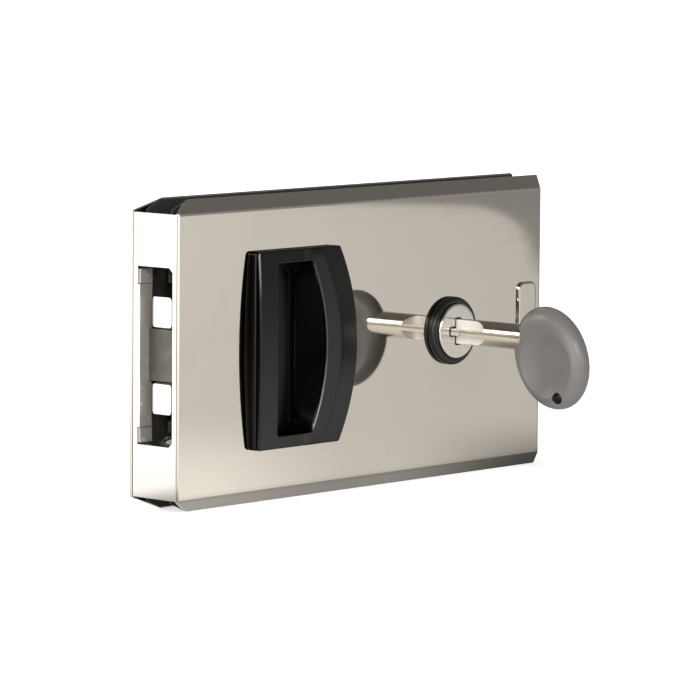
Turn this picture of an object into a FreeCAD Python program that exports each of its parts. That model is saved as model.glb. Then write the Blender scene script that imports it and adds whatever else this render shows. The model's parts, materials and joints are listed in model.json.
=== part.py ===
"""Hook latch with a finger pull and a key cylinder, for a sliding door panel.

Millimetres. X runs from the door's leading edge into the door, Y runs from the key side
to the far side, and Z is up. The origin is the middle of the edge plate's outer face.
The latch clamps on a panel that has a notch cut in its edge. A length named "proud" is
measured outwards from a cover's outer face.
"""
import FreeCAD
import Part
import math
import os

V = FreeCAD.Vector

# The door panel and the two covers
PANEL = 10.0
GASKET = 0.75
SHEET = 1.0
COVER_LENGTH = 180.0
COVER_HEIGHT = 91.8
BEVEL_OUT = 4.1
BEVEL_BACK = 5.0
BEND_RADIUS = 1.6
MITRE = 9.0
GASKET_MARGIN = 0.5

# The case, in two halves that meet in the middle of the panel
CASE_START = 2.0
END_BAND = 27.0
CLAMP_BAND = 7.9
CASE_SIDE_WALL = 2.5
CASE_FACE_WALL = 2.2
RIM_MARGIN = 1.0
CASE_SCREW_START = 24.0
CASE_SCREW_END = 9.0
CASE_SCREW_SHARE = 0.55
CASE_SCREW_INSET = 2.9
CASE_SCREW_RADIUS = 1.5
CASE_SCREW_HEAD = 2.7
CASE_SCREW_HEAD_HEIGHT = 1.5
CASE_SCREW_BITE = 6.0
CASE_BOSS_RADIUS = 3.0

# The edge plate and its window
EDGE_MARGIN = 0.2
EDGE_GAP = 0.3
WINDOW_INSET = 1.5
WINDOW_CHAMFER = 1.4
WINDOW_CORNER = 0.4
TAB_LENGTH = 6.0
TAB_WIDTH = 12.0
TAB_THICKNESS = 2.0
RIVET_RADIUS = 1.5
RIVET_SPACING = 6.0
POCKET_DEPTH = 5.8
POCKET_PLATE = 1.2
POCKET_PLATE_LAP = 0.5
STRIP_THICKNESS = 0.9
STRIP_START = 0.5
STRIP_INSET = 5.6
STRIP_DROP = 0.5
LUG_HEIGHT = 4.6
LUG_GAP = 0.25

# The hooks
HOOK_THICKNESS = 8.4
HOOK_INNER = 15.5
HOOK_OUTER = 23.5
HOOK_TIP_SETBACK = 3.3
HOOK_TAIL = 7.5
HOOK_EDGE_ROUND = 1.0
HOOK_ARM_WIDTH = 8.0
HUB_RADIUS = 5.3
PIVOT_X = 14.0
PIVOT_DROP = 5.5
PIVOT_RADIUS = 2.0
PIVOT_SEAT = 1.2
PIVOT_BOSS_RADIUS = 3.0
RUNNING_CLEARANCE = 0.05
FACE_CLEARANCE = 0.3

# The slide that the pulls move, and its travel
TRAVEL = 5.0
HOOK_SWING = 55.0
STUD_RADIUS = 1.2
STUD_CLEARANCE = 0.22
SLIDE_PLATE = 2.5
SLIDE_LAYER = 2.0
HEAD_START = 25.5
HEAD_END = 31.0
HEAD_MARGIN = 0.3
ARM_HEIGHT = 4.4
ARM_REACH = 3.0
BODY_START = 28.0
BODY_END = 64.0
BODY_STEP = 2.7
RAIL_PAST_LOCK = 13.5
RAIL_DROP = 15.5
RAIL_HEIGHT = 7.0
GUIDE_LENGTH = 10.0
GUIDE_HEIGHT = 2.4
GUIDE_BEFORE_LOCK = 30.5
GUIDE_CLEARANCE = 0.15

# The finger pulls
PULL_HEIGHT = 64.4
PULL_LEFT = 33.7
PULL_LEFT_BULGE = 0.8
PULL_RIGHT = 73.5
PULL_RIGHT_BULGE = 7.8
PULL_CORNER = 1.2
PULL_CROWN = 2.0
BASE_CROWN = 0.7
BASE_PROUD = 1.9
GROOVE = 0.4
FRAME_EDGE = 0.9
MOUTH_INSET = 4.2
MOUTH_LEFT = 42.4
MOUTH_LEFT_BULGE = 1.4
MOUTH_RIGHT = 59.8
MOUTH_RIGHT_BULGE = 5.6
MOUTH_CORNER = 2.0
CUP_DEPTH = 5.0
CUP_FLOOR = 1.25
CUP_LEAN = 5.2
CUP_CORNER = 5.8
CUP_WALL = 1.3
CUP_CLEARANCE = 0.4
RIDGE_WIDTH = 6.2
ROLL_DROP = 0.5
SPIGOT_WALL = 0.9
SPIGOT_CLEARANCE = 0.1
POST_RADIUS = 2.6
POST_X = (46.0, 54.0)
POST_Z = 18.0
PULL_SCREW_RADIUS = 1.5
PULL_SCREW_HEAD = 2.6
PULL_SCREW_BITE = 5.0
BASE_SCREW_X = 71.5
BASE_SCREW_Z = 20.0
BASE_SCREW_RADIUS = 1.25
BASE_SCREW_HEAD = 2.4
BASE_SCREW_HEAD_HEIGHT = 1.1
BASE_SCREW_BITE = 1.6

# The lock cylinder
LOCK_BACK = 20.55
BARREL_RADIUS = 9.0
BARREL_WALL = 2.5
BARREL_END = 1.8
FACE_DISC_LIP = 0.3
FACE_DISC_PROUD = 3.6
FACE_DISC_THICKNESS = 2.8
FACE_DISC_CHAMFER = 0.6
RING_WIDTH = 2.2
RING_PROUD = 2.6
RING_ROUND = 1.6
TAIL_RADIUS = 5.0
NUT_RIM = 3.0
NUT_HEIGHT = 3.0
NUT_SLOT = 3.0
PIN_RADIUS = 0.85
PIN_ROWS = (-8.9, -4.1)
DRIVER_LENGTH = 0.9
DRIVER_GAP = 0.1
SPRING_RADIUS = 0.68
SPRING_GAP = 0.2
KEYWAY_CLEARANCE = 0.15

# The deadlock: a spiral cam that lifts a bolt into the slide's rail
LOCK_TURN = 90.0
CAM_THICKNESS = 2.0
CAM_RIM = 1.7
CAM_OVERRUN = 18.0
FOLLOWER_RADIUS = 1.3
FOLLOWER_LOW = 10.0
BOLT_LIFT = 4.0
SPIRAL_CLEARANCE = 0.15
BOLT_WIDTH = 9.0
BOLT_GAP = 0.4
TOOTH_WIDTH = 2.4
TOOTH_HEIGHT = 3.7
TOOTH_CLEARANCE = 0.4
NOTCH_LEAD = 7.0
NOTCH_ROOF = 0.5
BOLT_GUIDE_WIDTH = 3.0
BOLT_GUIDE_RISE = 1.5
CLIP_THICKNESS = 0.5
CLIP_RADIUS = 7.4
CLIP_OPENING = 3.0

# The turn knob on the far side
TONGUE_WIDTH = 6.0
TONGUE_THICKNESS = 2.0
SPINDLE_RADIUS = 4.0
KNOB_LENGTH = 21.0
KNOB_WIDTH = 6.0
KNOB_PROUD = 19.0
KNOB_CORNER = 2.9
KNOB_ROUND = 1.2

# The key
KEY_RADIUS = 4.3
KEY_ARM = 2.2
KEY_INSERTED = 9.4
KEY_SCOOP_START = 10.8
KEY_SCOOP_RADIUS = 4.4
KEY_MORE = 7.0
BOW_PROUD = 44.5
BOW_DROP = 6.0
BOW_LONG = 35.2
BOW_SHORT = 27.8
BOW_TILT = 28.0
BOW_THICKNESS = 7.0
BOW_ROUND = 2.9
BOW_SEAT = 5.0
DISH_DIAMETER = 22.0
DISH_DEPTH = 0.9
DISH_DROP = 3.3
KEY_HOLE_RADIUS = 1.7
KEY_HOLE_OUT = 3.5
KEY_HOLE_DROP = 13.0

# The fixing through the panel at the trailing end, and its caps
FIXING_BACK = 7.6
FIXING_SCREW_RADIUS = 2.0
FIXING_HEAD_RADIUS = 3.8
FIXING_HEAD_HEIGHT = 2.4
FIXING_RECESS_RADIUS = 4.3
SLEEVE_RADIUS = 4.9
NUT_FLATS = 7.0
CAP_WIDTH = 9.4
CAP_HEIGHT = 28.0
CAP_PROUD = 1.0
CAP_CORNER = 2.6
CAP_ROUND = 0.6
CAP_SPIGOT = 4.5

# Places along the door and over its middle, worked out from the sizes above
CASE_END = COVER_LENGTH - END_BAND
CASE_HEIGHT = COVER_HEIGHT - 2 * CLAMP_BAND
CASE_INNER_END = CASE_END - CASE_SIDE_WALL
CASE_INNER_TOP = CASE_HEIGHT / 2 - CASE_SIDE_WALL
RIM_END = COVER_LENGTH - RIM_MARGIN
RIM_HEIGHT = COVER_HEIGHT - 2 * RIM_MARGIN
EDGE_HEIGHT = COVER_HEIGHT - 2 * EDGE_MARGIN
RIVET_X = CASE_START + TAB_LENGTH / 2
LOCK_X = CASE_END - LOCK_BACK
FIXING_X = COVER_LENGTH - FIXING_BACK
PIVOT_Z = CASE_INNER_TOP - PIVOT_DROP
WINDOW_HEIGHT = 2 * (PIVOT_Z - WINDOW_INSET)
POCKET_PLATE_HEIGHT = 2 * (PIVOT_Z - HOOK_OUTER + POCKET_PLATE_LAP)
STRIP_HEIGHT = WINDOW_HEIGHT - 2 * STRIP_INSET
STUD_DROP = TRAVEL / 2 / math.tan(math.radians(HOOK_SWING / 2))
STUD_Z = PIVOT_Z - STUD_DROP
STUD_X = PIVOT_X + TRAVEL / 2
HEAD_HEIGHT = 2 * (STUD_Z + STUD_RADIUS + HEAD_MARGIN)
BODY_HEIGHT = HEAD_HEIGHT - 2 * BODY_STEP
RAIL_LOW = CASE_INNER_TOP - RAIL_DROP
RAIL_END = LOCK_X + RAIL_PAST_LOCK
GUIDE_X = LOCK_X - GUIDE_BEFORE_LOCK
MOUTH_HEIGHT = PULL_HEIGHT - 2 * MOUTH_INSET
FACE_DISC_RADIUS = BARREL_RADIUS + FACE_DISC_LIP
RING_RADIUS = FACE_DISC_RADIUS + RING_WIDTH
PLUG_RADIUS = BARREL_RADIUS - BARREL_WALL
NUT_RADIUS = BARREL_RADIUS + NUT_RIM
CAM_RADIUS = FOLLOWER_LOW + BOLT_LIFT + FOLLOWER_RADIUS + CAM_RIM
BOLT_BOTTOM = PLUG_RADIUS + BOLT_GAP
BOLT_SHOULDER = RAIL_LOW - TOOTH_CLEARANCE - TOOTH_HEIGHT
NOTCH_START = LOCK_X - NOTCH_LEAD
NOTCH_TOP = BOLT_SHOULDER + TOOTH_HEIGHT + BOLT_LIFT + TOOTH_CLEARANCE

# Depths from the panel's middle plane, worked out from the sizes above
PANEL_FACE = PANEL / 2
CLAMP_FACE = PANEL_FACE + GASKET
COVER_FACE = CLAMP_FACE + BEVEL_BACK
COVER_BACK = COVER_FACE - SHEET
CASE_INNER = COVER_BACK - CASE_FACE_WALL
CUP_BOTTOM = COVER_FACE - CUP_DEPTH
CUP_BACK = CUP_BOTTOM - CUP_FLOOR
SLIDE_BACK = SLIDE_LAYER + SLIDE_PLATE
HEAD_LAYER = SLIDE_BACK
HEAD_BACK = HEAD_LAYER + SLIDE_PLATE
HOOK_FACE = HOOK_THICKNESS / 2
CAM_LAYER = SLIDE_BACK + BOLT_GAP
CAM_BACK = CAM_LAYER + CAM_THICKNESS
FACE_DISC_FRONT = COVER_FACE + FACE_DISC_PROUD
FACE_DISC_BACK = FACE_DISC_FRONT - FACE_DISC_THICKNESS


def box(x0, x1, y0, y1, z0, z1):
    return Part.makeBox(x1 - x0, y1 - y0, z1 - z0, V(x0, y0, z0))


def rod(x, z, radius, y0, y1):
    """A round bar along Y."""
    return Part.makeCylinder(radius, y1 - y0, V(x, y0, z), V(0, 1, 0))


def mirror_y(shape):
    return shape.mirror(V(0, 0, 0), V(0, 1, 0))


def mirror_z(shape):
    return shape.mirror(V(0, 0, 0), V(0, 0, 1))


def polygon(points):
    return Part.makePolygon(points + [points[0]])


def plate_xz(points, y0, y1):
    """A flat plate along Y whose outline is a list of X, Z corners."""
    face = Part.Face(polygon([V(x, y0, z) for x, z in points]))
    return face.extrude(V(0, y1 - y0, 0))


def edges_along(shape, axis):
    """Straight edges that run along one axis."""
    found = []
    for edge in shape.Edges:
        if len(edge.Vertexes) != 2 or not isinstance(edge.Curve, Part.Line):
            continue
        run = edge.Vertexes[1].Point - edge.Vertexes[0].Point
        if abs(abs(run.normalize().dot(axis)) - 1) < 1e-6:
            found.append(edge)
    return found


def round_corners(shape, radius, axis):
    return shape.makeFillet(radius, edges_along(shape, axis))


def fused(first, *others):
    for other in others:
        first = first.fuse(other)
    return first.removeSplitter()


def cut_all(shape, *tools):
    for tool in tools:
        shape = shape.cut(tool)
    return shape


def arc_height(z, half, rise):
    """Height of an arc over its chord, at a distance z from the chord's middle."""
    radius = (half * half + rise * rise) / (2 * rise)
    return math.sqrt(radius * radius - z * z) - radius + rise


def bulged_prism(left, left_bulge, right, right_bulge, half, corner, y0, y1):
    """A prism along Y with straight top and bottom and bowed left and right sides."""
    low_left = V(left, y0, -half)
    high_left = V(left, y0, half)
    low_right = V(right, y0, -half)
    high_right = V(right, y0, half)
    edges = [Part.Arc(low_left, V(left - left_bulge, y0, 0), high_left).toShape(),
             Part.makeLine(high_left, high_right),
             Part.Arc(high_right, V(right + right_bulge, y0, 0), low_right).toShape(),
             Part.makeLine(low_right, low_left)]
    prism = Part.Face(Part.Wire(edges)).extrude(V(0, y1 - y0, 0))
    return round_corners(prism, corner, V(0, 1, 0))


def bevelled_block(face_depth, back_depth, length, half, spread):
    """A block that widens from its face to its back at the top, bottom and right."""
    outlines = []
    for depth, grow in ((face_depth, 0.0), (back_depth, spread)):
        outlines.append(polygon([V(0, -depth, -half - grow), V(length + grow, -depth, -half - grow),
                                 V(length + grow, -depth, half + grow), V(0, -depth, half + grow)]))
    return Part.makeLoft(outlines, True, True)


def round_folds(block, face_depth, radius):
    """Rounds the bends: every edge of the face, and the corners behind it, but not the open end."""
    folds = []
    for edge in block.Edges:
        ends = [vertex.Point for vertex in edge.Vertexes]
        at_open_end = all(point.x < 1e-6 for point in ends)
        touches_face = any(abs(point.y + face_depth) < 1e-6 for point in ends)
        if touches_face and not at_open_end:
            folds.append(edge)
    return block.makeFillet(radius, folds)


def mitre_corner(depth):
    """What the mitre takes off the bevel at the top of the leading end."""
    high = COVER_HEIGHT / 2
    reach = 3 * BEVEL_OUT
    points = [(-MITRE, high), (0, high), (3 * MITRE, high + reach), (-MITRE, high + reach)]
    return plate_xz(points, -depth, depth)


def pull_opening(y0, y1, extra):
    """The gap that the moving cup needs, with extra room all round."""
    side = CUP_WALL + CUP_CLEARANCE + extra
    return bulged_prism(MOUTH_LEFT - TRAVEL - side, MOUTH_LEFT_BULGE, MOUTH_RIGHT + side,
                        MOUTH_RIGHT_BULGE, MOUTH_HEIGHT / 2 + side, MOUTH_CORNER + side, y0, y1)


def cover_plate():
    """The key side's cover: a sheet bent back at the top, bottom and trailing end."""
    half = COVER_HEIGHT / 2
    slope = BEVEL_OUT / BEVEL_BACK
    bend = math.atan2(BEVEL_BACK, BEVEL_OUT)
    inset = SHEET * math.tan(bend / 2)
    overshoot = 2.0
    outer = bevelled_block(COVER_FACE, CLAMP_FACE, COVER_LENGTH, half, BEVEL_OUT)
    outer = round_folds(outer, COVER_FACE, BEND_RADIUS)
    inner_depth = COVER_BACK - CLAMP_FACE + overshoot
    inner = bevelled_block(COVER_BACK, CLAMP_FACE - overshoot, COVER_LENGTH - inset, half - inset,
                           inner_depth * slope)
    inner = round_folds(inner, COVER_BACK, BEND_RADIUS - SHEET)
    inner = inner.fuse(box(-overshoot, SHEET, -COVER_BACK, -CLAMP_FACE + overshoot, -half, half))
    corner = mitre_corner(COVER_FACE + overshoot)
    back, front = -COVER_BACK + overshoot, -COVER_FACE - overshoot
    holes = [rod(BASE_SCREW_X, z, BASE_SCREW_RADIUS, front, back) for z in (BASE_SCREW_Z, -BASE_SCREW_Z)]
    return cut_all(outer, inner, corner, mirror_z(corner), *holes,
                   pull_opening(front, back, SPIGOT_WALL + SPIGOT_CLEARANCE),
                   rod(LOCK_X, 0, BARREL_RADIUS + RUNNING_CLEARANCE, front, back),
                   rod(FIXING_X, 0, CAP_SPIGOT + RUNNING_CLEARANCE, front, back))


def gasket():
    """The soft sheet between the cover's bevel, the case's rim and the panel."""
    tip = COVER_HEIGHT / 2 + BEVEL_OUT - GASKET_MARGIN
    far = COVER_LENGTH + BEVEL_OUT - GASKET_MARGIN
    sheet = box(CASE_START, far, -CLAMP_FACE, -PANEL_FACE, -tip, tip)
    corner = mitre_corner(COVER_FACE)
    notch = box(0, CASE_END, -COVER_FACE, 0, -CASE_HEIGHT / 2, CASE_HEIGHT / 2)
    return cut_all(sheet, corner, mirror_z(corner), notch, rod(FIXING_X, 0, SLEEVE_RADIUS, -COVER_FACE, 0))


def case_screw_places():
    z = CASE_INNER_TOP - CASE_SCREW_INSET
    last = CASE_END - CASE_SCREW_END
    middle = CASE_SCREW_START + (last - CASE_SCREW_START) * CASE_SCREW_SHARE
    return [(x, side * z) for x in (CASE_SCREW_START, middle, last) for side in (1, -1)]


def case_half():
    """The half that both sides share: a clamping rim, the notch's walls and the bosses."""
    rim = box(CASE_START, RIM_END, -COVER_BACK, -CLAMP_FACE, -RIM_HEIGHT / 2, RIM_HEIGHT / 2)
    walls = box(CASE_START, CASE_END, -CLAMP_FACE, 0, -CASE_HEIGHT / 2, CASE_HEIGHT / 2)
    hollow = box(CASE_START, CASE_INNER_END, -CASE_INNER, 0, -CASE_INNER_TOP, CASE_INNER_TOP)
    half = fused(rim, walls).cut(hollow)
    for x, z in case_screw_places():
        half = half.fuse(rod(x, z, CASE_BOSS_RADIUS, -CASE_INNER, 0))
    for z in (PIVOT_Z, -PIVOT_Z):
        half = half.fuse(rod(PIVOT_X, z, PIVOT_BOSS_RADIUS, -CASE_INNER, -HOOK_FACE - FACE_CLEARANCE))
        half = half.cut(rod(PIVOT_X, z, PIVOT_RADIUS, -CASE_INNER - PIVOT_SEAT, 0))
    rivet_low = V(RIVET_X, -RIVET_SPACING / 2, -CASE_HEIGHT)
    half = half.cut(Part.makeCylinder(RIVET_RADIUS, 2 * CASE_HEIGHT, rivet_low))
    half = half.cut(pull_opening(-COVER_FACE, 0, SPIGOT_WALL + SPIGOT_CLEARANCE))
    for z in (BASE_SCREW_Z, -BASE_SCREW_Z):
        half = half.cut(rod(BASE_SCREW_X, z, BASE_SCREW_RADIUS, -COVER_FACE, 0))
    half = half.cut(rod(FIXING_X, 0, FIXING_SCREW_RADIUS + RUNNING_CLEARANCE, -COVER_FACE, 0))
    recess = COVER_BACK - FIXING_HEAD_HEIGHT - FACE_CLEARANCE
    return half.cut(rod(FIXING_X, 0, FIXING_RECESS_RADIUS, -COVER_FACE, -recess)).removeSplitter()


def front_case_half():
    half = case_half().cut(rod(LOCK_X, 0, BARREL_RADIUS, -COVER_FACE, 0))
    for x, z in case_screw_places():
        half = cut_all(half, rod(x, z, CASE_SCREW_RADIUS + RUNNING_CLEARANCE, -COVER_FACE, 0),
                       rod(x, z, CASE_SCREW_HEAD, -COVER_FACE, -COVER_BACK + CASE_SCREW_HEAD_HEIGHT))
    return half.removeSplitter()


def rear_case_half():
    half = mirror_y(case_half()).cut(rod(LOCK_X, 0, TAIL_RADIUS + RUNNING_CLEARANCE, 0, COVER_FACE))
    for x, z in case_screw_places():
        half = half.cut(rod(x, z, CASE_SCREW_RADIUS, 0, CASE_SCREW_BITE))
    return half.removeSplitter()


def case_screws():
    screws = []
    for x, z in case_screw_places():
        head = rod(x, z, CASE_SCREW_HEAD, -COVER_BACK, -COVER_BACK + CASE_SCREW_HEAD_HEIGHT)
        shank = rod(x, z, CASE_SCREW_RADIUS, -COVER_BACK, CASE_SCREW_BITE)
        screws.append(fused(head, shank))
    return screws


def edge_rivets():
    """Four rivets that hold the edge plate's tabs to the case's walls."""
    rivets = []
    for y in (-RIVET_SPACING / 2, RIVET_SPACING / 2):
        low = CASE_INNER_TOP - TAB_THICKNESS
        rivet = Part.makeCylinder(RIVET_RADIUS, CASE_HEIGHT / 2 - low, V(RIVET_X, y, low))
        rivets += [rivet, mirror_z(rivet)]
    return rivets


def window_prism(x0, x1):
    """The window's outline, with its two chamfered corners on the key side."""
    across, up = CASE_INNER, WINDOW_HEIGHT / 2
    points = [(across, -up), (across, up), (WINDOW_CHAMFER - across, up), (-across, up - WINDOW_CHAMFER),
              (-across, WINDOW_CHAMFER - up), (WINDOW_CHAMFER - across, -up)]
    face = Part.Face(polygon([V(x0, y, z) for y, z in points]))
    return round_corners(face.extrude(V(x1 - x0, 0, 0)), WINDOW_CORNER, V(1, 0, 0))


def edge_plate():
    across = COVER_BACK - EDGE_GAP
    plate = box(0, CASE_START, -across, across, -EDGE_HEIGHT / 2, EDGE_HEIGHT / 2)
    plate = plate.cut(window_prism(-CASE_START, 2 * CASE_START))
    tab = box(CASE_START, CASE_START + TAB_LENGTH, -TAB_WIDTH / 2, TAB_WIDTH / 2,
              CASE_INNER_TOP - TAB_THICKNESS, CASE_INNER_TOP)
    for y in (-RIVET_SPACING / 2, RIVET_SPACING / 2):
        tab = tab.cut(Part.makeCylinder(RIVET_RADIUS, CASE_HEIGHT, V(RIVET_X, y, 0)))
    return fused(plate, tab, mirror_z(tab))


def pocket_plate():
    """The plate that closes the window's pocket between the two hooks."""
    return box(POCKET_DEPTH, POCKET_DEPTH + POCKET_PLATE, -CASE_INNER, CASE_INNER,
               -POCKET_PLATE_HEIGHT / 2, POCKET_PLATE_HEIGHT / 2)


def strip_span():
    middle = -STRIP_DROP / 2
    return middle - STRIP_HEIGHT / 2, middle + STRIP_HEIGHT / 2


def pocket_strip():
    """The long strip on the far wall of the pocket."""
    low, high = strip_span()
    return box(STRIP_START, POCKET_DEPTH, CASE_INNER - STRIP_THICKNESS, CASE_INNER, low, high)


def strip_lugs():
    """The short lugs at the strip's two ends."""
    low, high = strip_span()
    inner = CASE_INNER - STRIP_THICKNESS
    return [box(STRIP_START, POCKET_DEPTH, inner, CASE_INNER, high + LUG_GAP, high + LUG_GAP + LUG_HEIGHT),
            box(STRIP_START, POCKET_DEPTH, inner, CASE_INNER, low - LUG_GAP - LUG_HEIGHT, low - LUG_GAP)]


def slot_angle():
    """Direction of the upper hub's slot at rest, from the pivot to the stud."""
    return math.degrees(math.atan2(-STUD_DROP, TRAVEL / 2))


def upper_hook():
    """A crescent on an arm. Its tip is cut square to the edge plate."""
    pivot = V(PIVOT_X, -HOOK_FACE, PIVOT_Z)
    tail = slot_angle() + HOOK_TAIL
    reach = 2 * HOOK_OUTER
    ring = rod(PIVOT_X, PIVOT_Z, HOOK_OUTER, -HOOK_FACE, HOOK_FACE)
    ring = ring.cut(rod(PIVOT_X, PIVOT_Z, HOOK_INNER, -HOOK_FACE, HOOK_FACE))
    round_edges = [edge for edge in ring.Edges if isinstance(edge.Curve, Part.Circle)]
    ring = ring.makeFillet(HOOK_EDGE_ROUND, round_edges)
    end = math.radians(tail)
    tail_corner = (PIVOT_X + reach * math.cos(end), PIVOT_Z + reach * math.sin(end))
    keep = plate_xz([(PIVOT_X, PIVOT_Z), tail_corner, (PIVOT_X, PIVOT_Z - reach),
                     (HOOK_TIP_SETBACK, PIVOT_Z - reach), (HOOK_TIP_SETBACK, PIVOT_Z)], -HOOK_FACE, HOOK_FACE)
    crescent = ring.common(keep)
    half = HOOK_ARM_WIDTH / 2
    arm = box(0, (HOOK_INNER + HOOK_OUTER) / 2, -HOOK_FACE, HOOK_FACE, -half, half)
    arm.rotate(V(0, 0, 0), V(0, 1, 0), -slot_angle())
    arm.translate(V(PIVOT_X, 0, PIVOT_Z))
    hub = rod(PIVOT_X, PIVOT_Z, HUB_RADIUS, -HOOK_FACE, HOOK_FACE)
    near = STUD_DROP - STUD_RADIUS - STUD_CLEARANCE
    far = math.hypot(STUD_DROP, TRAVEL / 2) + STUD_RADIUS + STUD_CLEARANCE
    width = STUD_RADIUS + STUD_CLEARANCE
    slot = fused(box(near + width, far - width, -reach, reach, -width, width),
                 rod(near + width, 0, width, -reach, reach), rod(far - width, 0, width, -reach, reach))
    slot.rotate(V(0, 0, 0), V(0, 1, 0), -slot_angle())
    slot.translate(V(PIVOT_X, 0, PIVOT_Z))
    hole = Part.makeCylinder(PIVOT_RADIUS + RUNNING_CLEARANCE, HOOK_THICKNESS, pivot, V(0, 1, 0))
    return cut_all(fused(crescent, arm, hub), slot, hole)


def hook_pivots():
    end = CASE_INNER + PIVOT_SEAT
    return [rod(PIVOT_X, z, PIVOT_RADIUS, -end, end) for z in (PIVOT_Z, -PIVOT_Z)]


def notch_plate():
    """The plate under the rail's end, with a notch for each end of the slide's travel."""
    half = TOOTH_WIDTH / 2 + TOOTH_CLEARANCE
    plate = box(NOTCH_START, RAIL_END, SLIDE_LAYER, SLIDE_BACK, RAIL_LOW, NOTCH_TOP + NOTCH_ROOF)
    for x in (LOCK_X, LOCK_X + TRAVEL):
        plate = plate.cut(box(x - half, x + half, SLIDE_LAYER, SLIDE_BACK, RAIL_LOW, NOTCH_TOP))
    return plate


def drive_slide():
    """The plate between the two pulls: a cranked head with two arms, and a rail."""
    head = box(HEAD_START, HEAD_END, HEAD_LAYER, HEAD_BACK, -HEAD_HEIGHT / 2, HEAD_HEIGHT / 2)
    arm_low = HEAD_HEIGHT / 2 - ARM_HEIGHT
    arm = box(STUD_X - ARM_REACH, HEAD_END, HEAD_LAYER, HEAD_BACK, arm_low, HEAD_HEIGHT / 2)
    crank = box(BODY_START, HEAD_END, SLIDE_LAYER, HEAD_BACK, -BODY_HEIGHT / 2, BODY_HEIGHT / 2)
    body = box(BODY_START, BODY_END, SLIDE_LAYER, SLIDE_BACK, -BODY_HEIGHT / 2, BODY_HEIGHT / 2)
    rail = box(BODY_START, RAIL_END, SLIDE_LAYER, SLIDE_BACK, RAIL_LOW, RAIL_LOW + RAIL_HEIGHT)
    rail = rail.cut(box(NOTCH_START, RAIL_END, SLIDE_LAYER, SLIDE_BACK, RAIL_LOW, NOTCH_TOP + NOTCH_ROOF))
    plate = fused(head, arm, mirror_z(arm), crank, body, rail)
    for x, z in post_places():
        plate = plate.cut(rod(x, z, PULL_SCREW_RADIUS, 0, COVER_FACE))
    for z in (STUD_Z, -STUD_Z):
        plate = plate.cut(rod(STUD_X, z, STUD_RADIUS, 0, COVER_FACE))
    return plate


def drive_studs():
    return [rod(STUD_X, z, STUD_RADIUS, -HOOK_FACE, HEAD_BACK) for z in (STUD_Z, -STUD_Z)]


def slide_guides():
    """Four blocks on the rear case half that keep the slide on its line."""
    top = HEAD_HEIGHT / 2 + GUIDE_CLEARANCE
    head_end = HEAD_END + GUIDE_CLEARANCE
    head_guide = box(head_end - GUIDE_LENGTH, head_end, HEAD_LAYER, CASE_INNER, top, top + GUIDE_HEIGHT)
    rail_top = RAIL_LOW + RAIL_HEIGHT + GUIDE_CLEARANCE
    rail_low = RAIL_LOW - GUIDE_CLEARANCE
    upper = box(GUIDE_X, GUIDE_X + GUIDE_LENGTH, SLIDE_LAYER, CASE_INNER, rail_top, rail_top + GUIDE_HEIGHT)
    lower = box(GUIDE_X, GUIDE_X + GUIDE_LENGTH, SLIDE_LAYER, CASE_INNER, rail_low - GUIDE_HEIGHT, rail_low)
    return [head_guide, mirror_z(head_guide), upper, lower]


ON_COVER = (0, 0)


def crowned_slab(low, high):
    """A slab along the cover between two faces, each given by how far it stands proud and its crown."""
    half = PULL_HEIGHT / 2
    faces = []
    for proud, crown in (low, high):
        depth = COVER_FACE + proud
        ends = (V(0, -depth, -half), V(0, -depth, half))
        if crown:
            faces.append((ends, Part.Arc(ends[0], V(0, -depth - crown, 0), ends[1]).toShape()))
        else:
            faces.append((ends, Part.makeLine(*ends)))
    (low_ends, low_edge), (high_ends, high_edge) = faces
    wire = Part.Wire([low_edge, Part.makeLine(low_ends[1], high_ends[1]), high_edge,
                      Part.makeLine(high_ends[0], low_ends[0])])
    return Part.Face(wire).extrude(V(COVER_LENGTH, 0, 0))


def pull_outline(y0, y1):
    return bulged_prism(PULL_LEFT, PULL_LEFT_BULGE, PULL_RIGHT, PULL_RIGHT_BULGE, PULL_HEIGHT / 2,
                        PULL_CORNER, y0, y1)


def pull_mouth(y0, y1, wall):
    return bulged_prism(MOUTH_LEFT - wall, MOUTH_LEFT_BULGE, MOUTH_RIGHT + wall, MOUTH_RIGHT_BULGE,
                        MOUTH_HEIGHT / 2 + wall, MOUTH_CORNER + wall, y0, y1)


def rolled_edge(front):
    """What comes off the trailing rail, whose outer band falls away from a bowed ridge."""
    half = PULL_HEIGHT / 2
    over = 1.5
    ridge = V(MOUTH_RIGHT + RIDGE_WIDTH + MOUTH_RIGHT_BULGE, -front - PULL_CROWN, 0)
    width = PULL_RIGHT + PULL_RIGHT_BULGE - ridge.x
    spill = over * ROLL_DROP / width
    top = ridge.y - 2 * over
    section = Part.Face(polygon([V(ridge.x - over, ridge.y - spill, 0), V(ridge.x - over, top, 0),
                                 V(ridge.x + width + over, top, 0),
                                 V(ridge.x + width + over, ridge.y + ROLL_DROP + spill, 0)]))
    rise = math.hypot(MOUTH_RIGHT_BULGE, PULL_CROWN)
    radius = (half * half + rise * rise) / (2 * rise)
    outward = V(MOUTH_RIGHT_BULGE / rise, -PULL_CROWN / rise, 0)
    centre = ridge - outward * radius
    axis = V(-outward.y, outward.x, 0)
    turn = math.degrees(math.asin((half + over) / radius))
    section.rotate(centre, axis, -turn)
    return section.revolve(centre, axis, 2 * turn)


def post_places():
    return [(x, z) for x in POST_X for z in (POST_Z, -POST_Z)]


def finger_room(deepest):
    """The room in the cup, which grows rounder towards the floor as its trailing wall leans in."""
    mouth = pull_mouth(-deepest, -CUP_BOTTOM, 0)
    floor = bulged_prism(MOUTH_LEFT, MOUTH_LEFT_BULGE, MOUTH_RIGHT - CUP_LEAN, MOUTH_RIGHT_BULGE,
                         MOUTH_HEIGHT / 2, CUP_CORNER, -CUP_BOTTOM, -CUP_BACK)
    return Part.makeLoft([first_wire(mouth), first_wire(floor)], True, True)


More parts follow.
